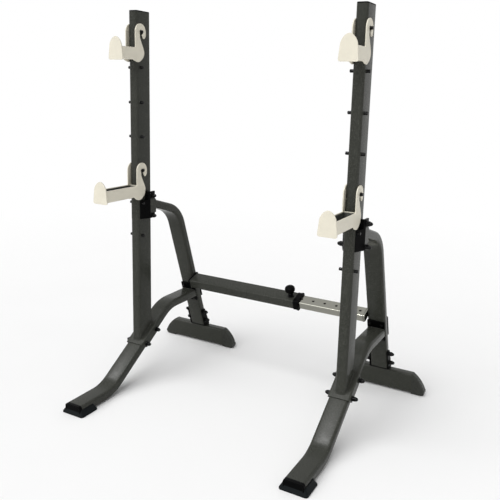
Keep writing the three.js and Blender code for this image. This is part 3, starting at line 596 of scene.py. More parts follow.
def run_rings(stations, loop, point, normal):
    """Rings of a loop carried along stations, the last one moved along its heading onto a plane."""
    rings = []
    for y, z, heading in stations:
        rings.append([Vector((a, y - b * math.sin(heading), z + b * math.cos(heading))) for a, b in loop])
    heading = stations[-1][2]
    way = Vector((0, math.cos(heading), math.sin(heading)))
    rings[-1] = [p + way * ((point - p).dot(normal) / way.dot(normal)) for p in rings[-1]]
    return rings


def bent_tube(corners, radius, width, depth, point, normal):
    """Outer and inner rings of a bent tube that ends on a plane."""
    stations = bent_run(corners, radius)
    return [run_rings(stations, loop, point, normal) for loop in tube_section(width, depth)]


def sideways(centre, sign=1):
    """A place whose Z is turned to X, or against it."""
    return Matrix.Translation(centre) @ Matrix.Rotation(sign * QUARTER, 4, "Y")


# Finishes, all made from noise in the piece's own metres

def set_inputs(node, values):
    for name, value in values.items():
        node.inputs[name].default_value = value


class Finish:
    """A material whose colour, roughness and grain vary over the surface."""

    def __init__(self, name, colour, roughness, metallic=0.0, specular=0.5):
        self.name = name
        self.material = bpy.data.materials.new(name)
        self.material.use_nodes = True
        self.nodes = self.material.node_tree.nodes
        self.links = self.material.node_tree.links
        self.shader = self.nodes["Principled BSDF"]
        self.colour = colour
        self.roughness = roughness
        set_inputs(self.shader, {"Metallic": metallic, "Specular IOR Level": specular})
        self.place = self.nodes.new("ShaderNodeTexCoord").outputs["Object"]
        self.tint = None
        self.normal = None

    def stretched(self, scale):
        """The piece's coordinates, stretched along an axis."""
        mapping = self.nodes.new("ShaderNodeMapping")
        mapping.inputs["Scale"].default_value = scale
        self.links.new(self.place, mapping.inputs["Vector"])
        return mapping.outputs["Vector"]

    def noise(self, size, detail=TINT_DETAIL, stretch=None):
        """Noise whose marks are about a size in metres."""
        node = self.nodes.new("ShaderNodeTexNoise")
        set_inputs(node, {"Scale": 1 / size, "Detail": detail})
        self.links.new(self.stretched(stretch) if stretch else self.place, node.inputs["Vector"])
        return node.outputs["Fac"]

    def mapped(self, value, span, result):
        node = self.nodes.new("ShaderNodeMapRange")
        set_inputs(node, dict(zip(("From Min", "From Max", "To Min", "To Max"), (*span, *result))))
        self.links.new(value, node.inputs["Value"])
        return node.outputs["Result"]

    def mottle(self, size, amount):
        """Slow changes of colour."""
        return self.marks(size, NOISE_SPAN, [c * (1 - amount) for c in self.colour])

    def marks(self, size, span, colour, stretch=None):
        """Another colour where the noise passes through a span."""
        share = self.mapped(self.noise(size, stretch=stretch), span, (0, 1))
        mix = self.nodes.new("ShaderNodeMix")
        mix.data_type = "RGBA"
        self.links.new(share, mix.inputs["Factor"])
        if self.tint is None:
            mix.inputs["A"].default_value = (*self.colour, 1)
        else:
            self.links.new(self.tint, mix.inputs["A"])
        mix.inputs["B"].default_value = (*colour, 1)
        self.tint = mix.outputs["Result"]
        return self

    def gloss(self, size, swing, stretch=None):
        """Changes of roughness."""
        levels = (self.roughness - swing, self.roughness + swing)
        value = self.mapped(self.noise(size, stretch=stretch), NOISE_SPAN, levels)
        self.links.new(value, self.shader.inputs["Roughness"])
        return self

    def grain(self, size, height, stretch=None):
        """Fine relief, its height in metres."""
        bump = self.nodes.new("ShaderNodeBump")
        set_inputs(bump, {"Strength": 1, "Distance": height})
        self.links.new(self.noise(size, GRAIN_DETAIL, stretch), bump.inputs["Height"])
        if self.normal is not None:
            self.links.new(self.normal, bump.inputs["Normal"])
        self.normal = bump.outputs["Normal"]
        return self

    def done(self):
        self.links.new(self.tint, self.shader.inputs["Base Color"])
        self.links.new(self.normal, self.shader.inputs["Normal"])
        return self.material


def finishes():
    """The material of each slot of the record."""
    made = [
        Finish("frame_paint", (0.033, 0.0345, 0.0285), 0.23, specular=0.12)
        .mottle(0.16, 0.14).marks(0.0024, (0.52, 0.7), (0.085, 0.087, 0.076)).gloss(0.03, 0.04)
        .grain(0.0016, 0.00003).grain(0.0005, 0.000006),
        Finish("hook_paint", (0.74, 0.70, 0.585), 0.42, specular=0.3)
        .mottle(0.05, 0.06).marks(0.0016, (0.69, 0.72), (0.42, 0.38, 0.3)).gloss(0.02, 0.06)
        .grain(0.0012, 0.00003),
        Finish("liner", (0.075, 0.077, 0.07), 0.55, specular=0.25)
        .mottle(0.02, 0.3).marks(0.004, (0.6, 0.75), (0.15, 0.15, 0.14), stretch=(1, 0.12, 1))
        .gloss(0.01, 0.08).grain(0.0009, 0.00005),
        Finish("black_paint", (0.0016, 0.0017, 0.0018), 0.42, specular=0.04)
        .mottle(0.03, 0.3).gloss(0.02, 0.07).grain(0.0014, 0.00004),
        Finish("black_steel", (0.0022, 0.0023, 0.0025), 0.26, specular=0.16)
        .mottle(0.006, 0.35).gloss(0.004, 0.08).grain(0.0008, 0.00002),
        Finish("black_plastic", (0.0014, 0.0015, 0.0016), 0.4, specular=0.03)
        .mottle(0.02, 0.2).gloss(0.008, 0.05).grain(0.0007, 0.00003),
        Finish("black_rubber", (0.005, 0.007, 0.0078), 0.55, specular=0.08)
        .mottle(0.02, 0.25).gloss(0.006, 0.08).grain(0.0008, 0.00008),
        Finish("cap_plastic", (0.037, 0.0385, 0.0335), 0.28, specular=0.12)
        .mottle(0.04, 0.12).gloss(0.01, 0.05).grain(0.0008, 0.00005),
        Finish("chrome", (0.27, 0.268, 0.235), 0.17, metallic=1.0)
        .mottle(0.05, 0.05).gloss(0.01, 0.03, stretch=(0.1, 1, 1))
        .grain(0.004, 0.000004, stretch=(0.05, 1, 1)),
        Finish("spring_steel", (0.55, 0.55, 0.54), 0.25, metallic=1.0)
        .mottle(0.003, 0.2).gloss(0.002, 0.05).grain(0.0006, 0.000006),
    ]
    return {finish.name: finish.done() for finish in made}


LOOKS = finishes()


# Pieces

def linked(name, data):
    """A new object in the scene."""
    made = bpy.data.objects.new(name, data)
    scene.collection.objects.link(made)
    return made


def mesh_object(name, shape, place):
    """An object with its mesh in metres where it belongs."""
    mesh = bpy.data.meshes.new(name)
    mesh.from_pydata([place @ point for point in shape.points], [], shape.faces)
    edit = bmesh.new()
    edit.from_mesh(mesh)
    bmesh.ops.remove_doubles(edit, verts=edit.verts, dist=MM * MM)
    bmesh.ops.recalc_face_normals(edit, faces=edit.faces)
    edit.to_mesh(mesh)
    edit.free()
    return linked(name, mesh)


def cut_away(made, shape, place):
    """Take a shape out of a piece for good."""
    tool = mesh_object("cutter", shape, place)
    modifier = made.modifiers.new("cut", "BOOLEAN")
    modifier.operation = "DIFFERENCE"
    modifier.solver = "EXACT"
    modifier.use_self = True
    modifier.object = tool
    graph = bpy.context.evaluated_depsgraph_get()
    result = bpy.data.meshes.new_from_object(made.evaluated_get(graph))
    made.modifiers.clear()
    made.data = result
    bpy.data.objects.remove(tool)


def rounded_edges(made, width, angle=EDGE_ANGLE):
    """Round a piece's sharp edges by a width in millimetres and shade the rest smooth."""
    made.data.shade_smooth()
    made.data.set_sharp_from_angle(angle=angle)
    if width:
        bevel = made.modifiers.new("round_edges", "BEVEL")
        bevel.width = width * MM
        bevel.segments = EDGE_SEGMENTS
        bevel.limit_method = "ANGLE"
        bevel.angle_limit = angle
        bevel.use_clamp_overlap = True
        bevel.harden_normals = True


def piece(node, part, shape, place, body, look=None, edge=0.8, cuts=()):
    """A finished piece that stands for a node, or for part of it."""
    made = mesh_object(f"{node}_{part}", shape, place)
    for cutter in cuts:
        cut_away(made, cutter, place)
    rounded_edges(made, edge)
    look = look or slots[node]
    made.data.materials.clear()
    made.data.materials.append(LOOKS[look])
    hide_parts(node)
    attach(made, body)
    return made


def pieces(node, parts, place, body):
    """Pieces from rows of a part's name, its shape and the width of its rounded edges."""
    for part, shape, edge in parts:
        piece(node, part, shape, place, body, edge=edge)


# Upright, its pegs and its cap

def upright(side, place):
    body = f"{side}_stand"
    node = f"{side}_upright"
    foot_rise = (LEG_DEPTH / 2 + SADDLE_PLATE + 2 * SEAT_GAP) / math.cos(LEG_ANGLE)
    outer, inner = [
        [[(x, y, leg_axis_height(y) + foot_rise) for x, y in loop], at_height(loop, UPRIGHT_HEIGHT)]
        for loop in tube_section(UPRIGHT_WIDTH, UPRIGHT_DEPTH, centre=UPRIGHT_CENTRE)
    ]
    piece(node, "tube", Shape().pipe(outer, inner), place, body, edge=0.5)
    half = UPRIGHT_WIDTH / 2 + PEG_REACH
    end = [(0, half), (PEG_RADIUS - PEG_CHAMFER, half), (PEG_RADIUS, half - PEG_CHAMFER)]
    profile = [(r, -h) for r, h in end] + end[::-1]
    pegs, welds = Shape(), Shape()
    for i, height in enumerate(PEG_HEIGHTS):
        pegs.turned(profile, sideways((0, PEG_INSET, height)))
        if i in COVERED_PEGS:
            continue
        for x in (-UPRIGHT_WIDTH / 2, UPRIGHT_WIDTH / 2):
            path = [(x, PEG_INSET + out, height + rise) for out, rise in circle(PEG_RADIUS)]
            welds.bead(path, PEG_WELD, PEG_WELD_SEED + i)
    piece(node, "pegs", pegs, place, body, look="black_steel", edge=0.4)
    welds.bead(along(outer[0], WELD_STEP), FOOT_WELD, FOOT_WELD_SEED)
    piece(node, "welds", welds, place, body, edge=0)


def upright_cap(side, place):
    low = UPRIGHT_HEIGHT + SEAT_GAP
    rings = []
    for k in range(CORNER_STEPS + 1):
        angle = QUARTER * k / CORNER_STEPS
        draw_in = CAP_EDGE * (1 - math.cos(angle))
        height = low + CAP_THICKNESS - CAP_EDGE * (1 - math.sin(angle))
        loop = rounded_loop(UPRIGHT_WIDTH, UPRIGHT_DEPTH, TUBE_CORNER, UPRIGHT_CENTRE, draw_in)
        rings.append(at_height(loop, height))
    rings.insert(0, [(x, y, low) for x, y, _ in rings[0]])
    piece(f"{side}_upright_cap", "lid", Shape().skin(rings), place, f"{side}_stand", edge=0.3)


# Hooks and their liners

def hook_outline(front_end, lobe_drop):
    """Side outline of a hook, in Y and Z from its peg."""
    r = CROWN_RADIUS
    eye = PEG_RADIUS + SEAT_GAP
    neck = [(back * r, -drop * ARM_BOTTOM_DROP) for back, drop in NECK_SHARES]
    lobe = [(back * r, -drop * lobe_drop) for back, drop in LOBE_SHARES]
    top, nose, inner, tip, heel = [(back * r, -drop * r) for back, drop in FINGER_SHARES]
    shape = Outline((front_end, -ARM_BOTTOM_DROP)).line(-LOBE_START_SHARE * r, -ARM_BOTTOM_DROP)
    shape.spline([*lobe[::-1], *neck[::-1]]).line(-eye, 0)
    shape.arc((0, 0), eye, 2 * QUARTER, QUARTER)
    shape.arc((EYE_BACK - EYE_CORNER, eye - EYE_CORNER), EYE_CORNER, QUARTER, 0)
    shape.line(EYE_BACK, top[1] / 2).bow((EYE_BACK, top[1]), top)
    shape.bow((nose[0], top[1]), nose).line(*inner)
    shape.bow(tip, heel).line(r, 0)
    shape.arc((0, 0), r, 0, 2 * QUARTER, 3 * CURVE_STEPS)
    shape.line(-r, ARM_CORNER - ARM_TOP_DROP)
    shape.bow((-r, -ARM_TOP_DROP), (-(r + ARM_CORNER), -ARM_TOP_DROP))
    return shape.line(front_end, -ARM_TOP_DROP).closed()


def front_plate_outline():
    """Outline of a hook's front plate, in X and Z from its peg."""
    half = FRONT_PLATE_WIDTH / 2
    corner = FRONT_PLATE_CORNER
    low = corner - FRONT_PLATE_BOTTOM_DROP
    rise = FRONT_PLATE_SHOULDER_DROP - FRONT_PLATE_TOP_DROP
    front = Outline((0, -FRONT_PLATE_BOTTOM_DROP))
    front.arc((half - corner, low), corner, -QUARTER, 0)
    for k in range(CROWN_STEPS + 1):
        angle = 2 * QUARTER * k / CROWN_STEPS
        across_share = math.copysign(abs(math.cos(angle)) ** CROWN_POWER_SHARE, math.cos(angle))
        rise_share = math.sin(angle) ** CROWN_POWER_SHARE if 0 < k < CROWN_STEPS else 0
        front.line(FRONT_PLATE_SHOULDER / 2 * across_share, rise * rise_share - FRONT_PLATE_SHOULDER_DROP)
    front.arc((corner - half, low), corner, 2 * QUARTER, 3 * QUARTER)
    return front.closed()


def hook(side, which, stand):
    peg, reach, lobe_drop = HOOKS[which]
    place = stand @ Matrix.Translation((0, PEG_INSET, PEG_HEIGHTS[peg]))
    inner = UPRIGHT_WIDTH / 2 + HOOK_CLEARANCE
    outer = inner + HOOK_PLATE
    across = inner + HOOK_PLATE / 2
    low = -ARM_BOTTOM_DROP
    plate_back = -(PEG_INSET + reach - FRONT_PLATE)
    arm_front = plate_back - FRONT_PLATE / 2
    seat_front = -(PEG_INSET + SEAT_GAP)
    cheek = hook_outline(arm_front, lobe_drop)
    back = rectangle(-across, across, low, -ARM_TOP_DROP)
    web = rectangle(-across, across, low, low + WEB_PLATE)
    welds = Shape()
    rows = round((ARM_BOTTOM_DROP - ARM_TOP_DROP) / WELD_STEP)
    for sign in (-1, 1):
        path = [(sign * outer, plate_back, low + (k + 1) * WELD_STEP) for k in range(rows - 1)]
        welds.bead(path, HOOK_WELD, HOOK_WELD_SEED, closed=False)
    front = front_plate_outline()
    parts = [
        ("left_plate", Shape().prism(cheek, -inner, -outer), 0.9),
        ("right_plate", Shape().prism(cheek, inner, outer), 0.9),
        ("front_plate", Shape().prism(front, plate_back - FRONT_PLATE, plate_back, "y"), 1.2),
        ("back_plate", Shape().prism(back, seat_front - BACK_PLATE, seat_front, "y"), 0.6),
        ("web", Shape().prism(web, arm_front, seat_front, "y"), 0.4),
        ("welds", welds, 0),
    ]
    pieces(f"{side}_{which}_hook", parts, place, f"{side}_{which}_bar_hook")


def hook_liner(side, which, stand):
    peg, reach, _ = HOOKS[which]
    place = stand @ Matrix.Translation((0, PEG_INSET, PEG_HEIGHTS[peg]))
    half = UPRIGHT_WIDTH / 2 + HOOK_CLEARANCE - SEAT_GAP
    inner = half - LINER_WALL
    low = WEB_PLATE - ARM_BOTTOM_DROP + SEAT_GAP
    high = -(ARM_TOP_DROP + LINER_INSET)
    corner = LINER_WALL
    corner_height = low + LINER_WALL + corner
    channel = Outline((-half, low)).line(half, low).line(half, high).line(inner, high)
    channel.arc((inner - corner, corner_height), corner, 0, -QUARTER)
    channel.arc((corner - inner, corner_height), corner, -QUARTER, -2 * QUARTER)
    channel.line(-inner, high).line(-half, high)
    front = -(PEG_INSET + reach - FRONT_PLATE) + SEAT_GAP
    back = -(PEG_INSET + SEAT_GAP) - BACK_PLATE - SEAT_GAP
    shape = Shape().prism(channel.closed(), front, back, "y")
    shape.prism(rectangle(-half, half, low, high), back - LINER_WALL, back, "y")
    piece(f"{side}_{which}_hook_liner", "channel", shape, place, f"{side}_{which}_bar_hook", edge=0.7)


# Bolts across X with a washer and a domed nut at each end

def tie_bolt(side, name, half_span, centre, stand):
    corner_radius = NUT_ACROSS_FLATS / 2 / math.cos(math.pi / HEX_SIDES)
    dome_radius = NUT_ACROSS_FLATS / 2 - DOME_INSET
    low = WASHER_THICKNESS
    nut_top = low + NUT_HEIGHT
    chamfer = WASHER_THICKNESS / 4
    rim = WASHER_RADIUS - chamfer
    washer = [(0, 0), (WASHER_RADIUS, 0), (WASHER_RADIUS, 2 * chamfer)]
    washer += [(rim, 3 * chamfer), (rim, low), (0, low)]
    dome = [(0, low), (dome_radius, low), (dome_radius, nut_top)]
    for k in range(1, CURVE_STEPS + 1):
        angle = QUARTER * k / CURVE_STEPS
        dome.append((dome_radius * math.cos(angle), nut_top + DOME_HEIGHT * math.sin(angle)))
    washers, nuts, domes = Shape(), Shape(), Shape()
    for sign in (-1, 1):
        at = sideways(centre, sign) @ Matrix.Translation((0, 0, half_span))
        washers.turned(washer, at)
        nuts.turned(rectangle(0, corner_radius, low, nut_top), at, sides=HEX_SIDES)
        domes.turned(dome, at)
    washers.turned(rectangle(0, BOLT_RADIUS, -half_span, half_span), sideways(centre))
    parts = [("washers", washers, 0.3), ("nuts", nuts, 0.9), ("domes", domes, 0)]
    pieces(f"{side}_{name}", parts, stand, f"{side}_stand")


def tie_bolts(side, stand):
    bracket_half = CHEEK_REACH + SEAT_GAP
    saddle_half = LEG_WIDTH / 2 + SADDLE_PLATE + 2 * SEAT_GAP
    ear_half = BRACE_WIDTH / 2 + BRACKET_PLATE + 2 * SEAT_GAP
    for name, height in TOP_BOLT_HEIGHTS.items():
        tie_bolt(side, f"top_bracket_{name}_bolt", bracket_half, (0, TOP_BOLT_BACK, height), stand)
    for name, back in SADDLE_BOLT_BACKS.items():
        tie_bolt(side, f"saddle_{name}_bolt", saddle_half, (0, back, leg_axis_height(back)), stand)
    for name, rise in REAR_BOLT_RISES.items():
        height = FOOT_HEIGHT + rise
        tie_bolt(side, f"rear_bracket_{name}_bolt", ear_half, (0, brace_axis_back(height), height), stand)


# Rear brace with its fork

def rear_brace(side, stand):
    body = f"{side}_stand"
    node = f"{side}_rear_brace"
    bracket = PEG_HEIGHTS[BRACKET_PEG]
    top = bracket - BRACE_TOP_DROP
    floor_back = brace_axis_back(0) - UPRIGHT_DEPTH
    knee = (top - BRACE_TOP_SHARE * floor_back) / (1 - BRACE_TOP_SHARE * BRACE_BOTTOM_SHARE)
    corners = [
        (UPRIGHT_DEPTH - FORK_LAP, top + BRACE_TOP_SHARE * FORK_LAP),
        (brace_axis_back(knee), knee),
        (brace_axis_back(BRACE_FOOT_HEIGHT), BRACE_FOOT_HEIGHT),
    ]
    foot = (Vector((0, 0, BRACE_FOOT_HEIGHT)), Vector((0, 0, 1)))
    outer, inner = bent_tube(corners, BRACE_BEND, BRACE_WIDTH, BRACE_DEPTH, *foot)
    half = UPRIGHT_WIDTH / 2 + SEAT_GAP
    throat = rectangle(-half, half, 0, UPRIGHT_DEPTH + SEAT_GAP)
    throat = Shape().prism(throat, bracket - BRACKET_BELOW, bracket + BRACKET_ABOVE, "z")
    piece(node, "tube", Shape().pipe(outer, inner), stand, body, edge=0.5, cuts=[throat])
    outer_half = CHEEK_REACH - FORK_PLATE - SEAT_GAP
    low = bracket - WINDOW_BELOW + SEAT_GAP
    high = bracket + WINDOW_ABOVE - SEAT_GAP
    front = CHEEK_FLARE_BACK + SEAT_GAP
    tail = [(FORK_BACK, low), (FORK_BACK, high - FORK_SLANT), (CHEEK_BACK, high)]
    plate_low = bracket - BRACKET_BELOW + SEAT_GAP
    plate_high = bracket + BRACKET_ABOVE - SEAT_GAP
    plate = [(front, plate_low), (CHEEK_BACK, plate_low), (CHEEK_BACK, low), *tail]
    plate += [(CHEEK_BACK, plate_high), (front, plate_high)]
    pad = [(front, low), *tail, (front, high)]
    fork = Shape().twins(plate, outer_half - FORK_PLATE, outer_half)
    pads = Shape().twins(pad, outer_half - FORK_PLATE / 2, CHEEK_REACH)
    bosses = Shape()
    for height in TOP_BOLT_HEIGHTS.values():
        for sign in (-1, 1):
            boss = rectangle(0, BOSS_RADIUS, sign * half, sign * outer_half)
            bosses.turned(boss, sideways((0, TOP_BOLT_BACK, height)))
    pieces(node, [("fork", fork, 0.6), ("pads", pads, 1.2), ("bosses", bosses, 0.4)], stand, body)


# Front leg with its flange, saddle and boot

def brace_face():
    """Place on the brace's front face, level with the leg's end: Y out of its back and Z along it."""
    half_run = BRACE_DEPTH / 2 / math.cos(BRACE_TILT)
    origin = (0, brace_axis_back(LEG_LEVEL_HEIGHT) - half_run, LEG_LEVEL_HEIGHT)
    return Matrix.Translation(origin) @ Matrix.Rotation(BRACE_TILT, 4, "X")


def front_leg(side, stand):
    body = f"{side}_stand"
    node = f"{side}_front_leg"
    face = brace_face()
    origin = face.translation
    normal = face.to_3x3() @ Vector((0, 1, 0))
    corners = [
        (BOOT_LIP + PLUG_DEPTH + SEAT_GAP - BOOT_FRONT, LEG_FLAT_HEIGHT),
        (-LEG_KNEE_BACK, LEG_FLAT_HEIGHT),
        (LEG_REAR_KNEE, LEG_LEVEL_HEIGHT),
        (origin.y, LEG_LEVEL_HEIGHT),
    ]
    end = origin - normal * (FLANGE_PLATE + 2 * SEAT_GAP)
    outer, inner = bent_tube(corners, LEG_BEND, LEG_WIDTH, LEG_DEPTH, end, normal)
    piece(node, "tube", Shape().pipe(outer, inner), stand, body, edge=0.5)
    weld = Shape().bead(along(outer[-1], WELD_STEP), FLANGE_WELD, LEG_WELD_SEED)
    piece(node, "weld", weld, stand, body, edge=0)


def flange_and_plate(side, stand):
    body = f"{side}_stand"
    node = f"{side}_leg_backing_plate"
    face = stand @ brace_face()
    middle = (0, (FLANGE_HIGH - FLANGE_LOW) / 2)
    sheet = rounded_loop(FLANGE_WIDTH, FLANGE_HIGH + FLANGE_LOW, FLANGE_CORNER, middle)
    front = Shape().prism(sheet, -(FLANGE_PLATE + SEAT_GAP), -SEAT_GAP, "y")
    piece(f"{side}_leg_flange", "plate", front, face, body, edge=0.9)
    start = BRACE_DEPTH + SEAT_GAP
    back = Shape().prism(sheet, start, start + FLANGE_PLATE, "y")
    piece(node, "sheet", back, face, body, edge=0.9)
    top = -(FLANGE_PLATE + 2 * SEAT_GAP)
    radius = FLANGE_HEAD_RADIUS - FLANGE_HEAD_INSET
    head = rectangle(0, radius, FLANGE_WASHER, FLANGE_HEAD_HEIGHT)
    washer = [(0, 0), (FLANGE_HEAD_RADIUS, 0), (FLANGE_HEAD_RADIUS, FLANGE_WASHER)]
    washer += [(radius, FLANGE_WASHER_CROWN), (0, FLANGE_WASHER_CROWN)]
    heads, washers = Shape(), Shape()
    for x in (-FLANGE_BOLT_SIDE, FLANGE_BOLT_SIDE):
        for rise in (FLANGE_BOLT_RISE, -FLANGE_BOLT_DROP):
            at = Matrix.Translation((x, top, rise)) @ Matrix.Rotation(QUARTER, 4, "X")
            heads.turned(head, at, sides=HEX_SIDES)
            washers.turned(washer, at)
    piece(node, "bolt_heads", heads, face, body, look="black_steel", edge=0.8)
    piece(node, "bolt_washers", washers, face, body, look="black_steel", edge=0.2)


def saddle(side, stand):
    inner = LEG_WIDTH / 2 + SEAT_GAP
    outer = inner + SADDLE_PLATE
    top = LEG_DEPTH / 2 + SEAT_GAP + SADDLE_PLATE
    low = top - SADDLE_DROP
    bend = SADDLE_BEND
    section = Outline((-outer, low)).line(-inner, low)
    section.line(-inner, top - SADDLE_PLATE).line(inner, top - SADDLE_PLATE)
    section.line(inner, low).line(outer, low)
    section.arc((outer - bend, top - bend), bend, 0, QUARTER)
    section.arc((bend - outer, top - bend), bend, QUARTER, 2 * QUARTER)
    length = (SADDLE_FRONT + SADDLE_BACK) / math.cos(LEG_ANGLE)
    start = Matrix.Translation((0, -SADDLE_FRONT, leg_axis_height(-SADDLE_FRONT)))
    place = stand @ start @ Matrix.Rotation(LEG_ANGLE, 4, "X")
    shape = Shape().prism(section.closed(), 0, length, "y")
    # The cheeks' lower corners are cut off at a slant
    below = low - SADDLE_PLATE
    high = top - SADDLE_PLATE * 2
    cuts = []
    for outside, inside in ((-CUT_OVERRUN, SADDLE_SLANT), (length + CUT_OVERRUN, length - SADDLE_SLANT)):
        wedge = [(outside, below), (inside, below), (inside, low), (outside, high)]
        cuts.append(Shape().prism(wedge, -2 * outer, 2 * outer))
    piece(f"{side}_saddle", "plate", shape, place, f"{side}_stand", edge=0.8, cuts=cuts)


def front_boot(side, stand):
    body = f"{side}_stand"
    node = f"{side}_front_boot"
    centre = (0, BOOT_LENGTH / 2 - BOOT_FRONT)
    rings = []
    for draw_in, height in BOOT_SOLE_LEVELS:
        loop = rounded_loop(BOOT_WIDTH, BOOT_LENGTH, BOOT_CORNER, centre, draw_in)
        rings.append(at_height(loop, height))
    for k in range(1, CURVE_STEPS + 1):
        share = k / CURVE_STEPS
        width = BOOT_WIDTH + (BOOT_TOP_WIDTH - BOOT_WIDTH) * share**BOOT_FLARE_SHARE
        depth = BOOT_LENGTH - 2 * BOOT_LIP * share**BOOT_FLARE_SHARE
        height = BOOT_SOLE + (BOOT_WALL - BOOT_SOLE) * share
        rings.append(at_height(rounded_loop(width, depth, BOOT_CORNER, centre), height))
    gap = 2 * SEAT_GAP
    space = rounded_loop(LEG_WIDTH + gap, LEG_DEPTH + gap, TUBE_CORNER, (0, LEG_FLAT_HEIGHT))
    space = Shape().prism(space, BOOT_LIP + PLUG_DEPTH - BOOT_FRONT, 0, "y")
    piece(node, "shell", Shape().skin(rings), stand, body, edge=0.8, cuts=[space])
    front = BOOT_LIP - BOOT_FRONT - PLUG_FORWARD
    levels = [(0, PLUG_DEPTH + PLUG_FORWARD), (0, PLUG_EDGE), (PLUG_EDGE, 0), (PLUG_RIM, 0)]
    levels += [(PLUG_RIM + PLUG_TAPER, PLUG_RECESS)]
    rings = []
    for draw_in, depth in levels:
        corner = max(TUBE_CORNER - draw_in, PLUG_CORNER)
        sizes = (LEG_WIDTH - 2 * draw_in, LEG_DEPTH - 2 * draw_in, corner)
        rings.append([(x, front + depth, z) for x, z in rounded_loop(*sizes, (0, LEG_FLAT_HEIGHT))])
    piece(node, "plug", Shape().skin(rings), stand, body, look="black_plastic", edge=0.5)


# Rear foot, its end caps and its bracket

def curve_at(points, x):
    """Height of a line of points at a place along it."""
    for (x0, z0), (x1, z1) in zip(points, points[1:]):
        if min(x0, x1) <= x <= max(x0, x1) and x0 != x1:
            return z0 + (z1 - z0) * (x - x0) / (x1 - x0)
    return points[-1][1]


def rear_foot(side, stand):
    body = f"{side}_stand"
    node = f"{side}_rear_foot"
    height = FOOT_HEIGHT - FOOT_LIFT
    section = tube_section(FOOT_DEPTH, height, centre=(FOOT_CENTRE, FOOT_LIFT + height / 2))
    outer, inner = [at_places(loop, (-FOOT_SEAM, FOOT_SEAM)) for loop in section]
    piece(node, "tube", Shape().pipe(outer, inner), stand, body, edge=0.5)
    start = FOOT_SEAM + SEAT_GAP
    length = FOOT_HALF - start
    bulge = [share * size for share, size in zip(FOOT_BULGE_SHARES, (length, FOOT_HEIGHT))]
    under = Outline((start, 0)).line(FOOT_HALF - FOOT_TOE_RADIUS, 0)
    under.bow((FOOT_HALF, 0), (FOOT_HALF, FOOT_TOE), 4 * CURVE_STEPS)
    over = Outline((FOOT_HALF, FOOT_TOE))
    over.bow((start + bulge[0], bulge[1]), (start, FOOT_HEIGHT), 8 * CURVE_STEPS)
    for sign, name in ((-1, "left"), (1, "right")):
        rings = []
        for k in range(CAP_STATIONS + 1):
            x = start + (length - CAP_TIP) * math.sin(QUARTER * k / CAP_STATIONS)
            low, high = curve_at(under.points, x), curve_at(over.points, x)
            nearness = max(0, (x - start) / length - CAP_NARROW_SHARE) / (1 - CAP_NARROW_SHARE)
            depth = FOOT_DEPTH - CAP_NARROWING * nearness**CAP_NARROWING_POWER
            corner = min(TUBE_CORNER, (high - low) / CAP_CORNER_DIVISOR)
            loop = rounded_loop(depth, high - low, corner, (FOOT_CENTRE, (low + high) / 2))
            rings.append([(sign * x, y, z) for y, z in loop])
        piece(f"{node}_{name}_cap", "shell", Shape().skin(rings), stand, body, edge=0.6)


def rear_bracket(side, stand):
    body = f"{side}_stand"
    node = f"{side}_rear_bracket"
    low = FOOT_HEIGHT + SEAT_GAP
    inner = BRACE_WIDTH / 2 + SEAT_GAP
    outer = inner + BRACKET_PLATE
    half_run = BRACE_DEPTH / 2 / math.cos(BRACE_TILT) - EAR_INSET
    front = BRACE_FOOT_BACK - half_run
    back = FOOT_CENTRE + FOOT_DEPTH / 2 - TUBE_CORNER / 2
    top = FOOT_HEIGHT + EAR_RISE
    top_back = brace_axis_back(top)
    ear = Outline((front, low)).line(back, low).line(back, low + BRACKET_PLATE)
    ear.line(top_back + half_run, top - EAR_CORNER)
    ear.bow((top_back + half_run, top), (top_back + half_run - EAR_CORNER, top))
    ear.line(top_back - half_run + EAR_CORNER, top)
    ear.bow((top_back - half_run, top), (top_back - half_run, top - EAR_CORNER))
    ears = Shape().twins(ear.closed(), inner, outer)
    piece(node, "ears", ears, stand, body, edge=0.8)
    across = inner + BRACKET_PLATE / 2
    base = Shape().prism(rectangle(front, back, low, low + BRACKET_PLATE), -across, across)
    piece(node, "base", base, stand, body, edge=0.6)


# Cross tube, collar, holes and spring pin

def cross_tube(name, body, section, ends, welded_end, place, edge, cuts=()):
    node = f"cross_{name}_tube"
    outer, inner = [at_places(loop, ends) for loop in section]
    piece(node, "body", Shape().pipe(outer, inner), place, body, edge=edge, cuts=cuts)
    weld = Shape().bead(along(outer[welded_end], WELD_STEP), FLANGE_WELD, CROSS_WELD_SEEDS[name])
    piece(node, "weld", weld, place, body, edge=0)


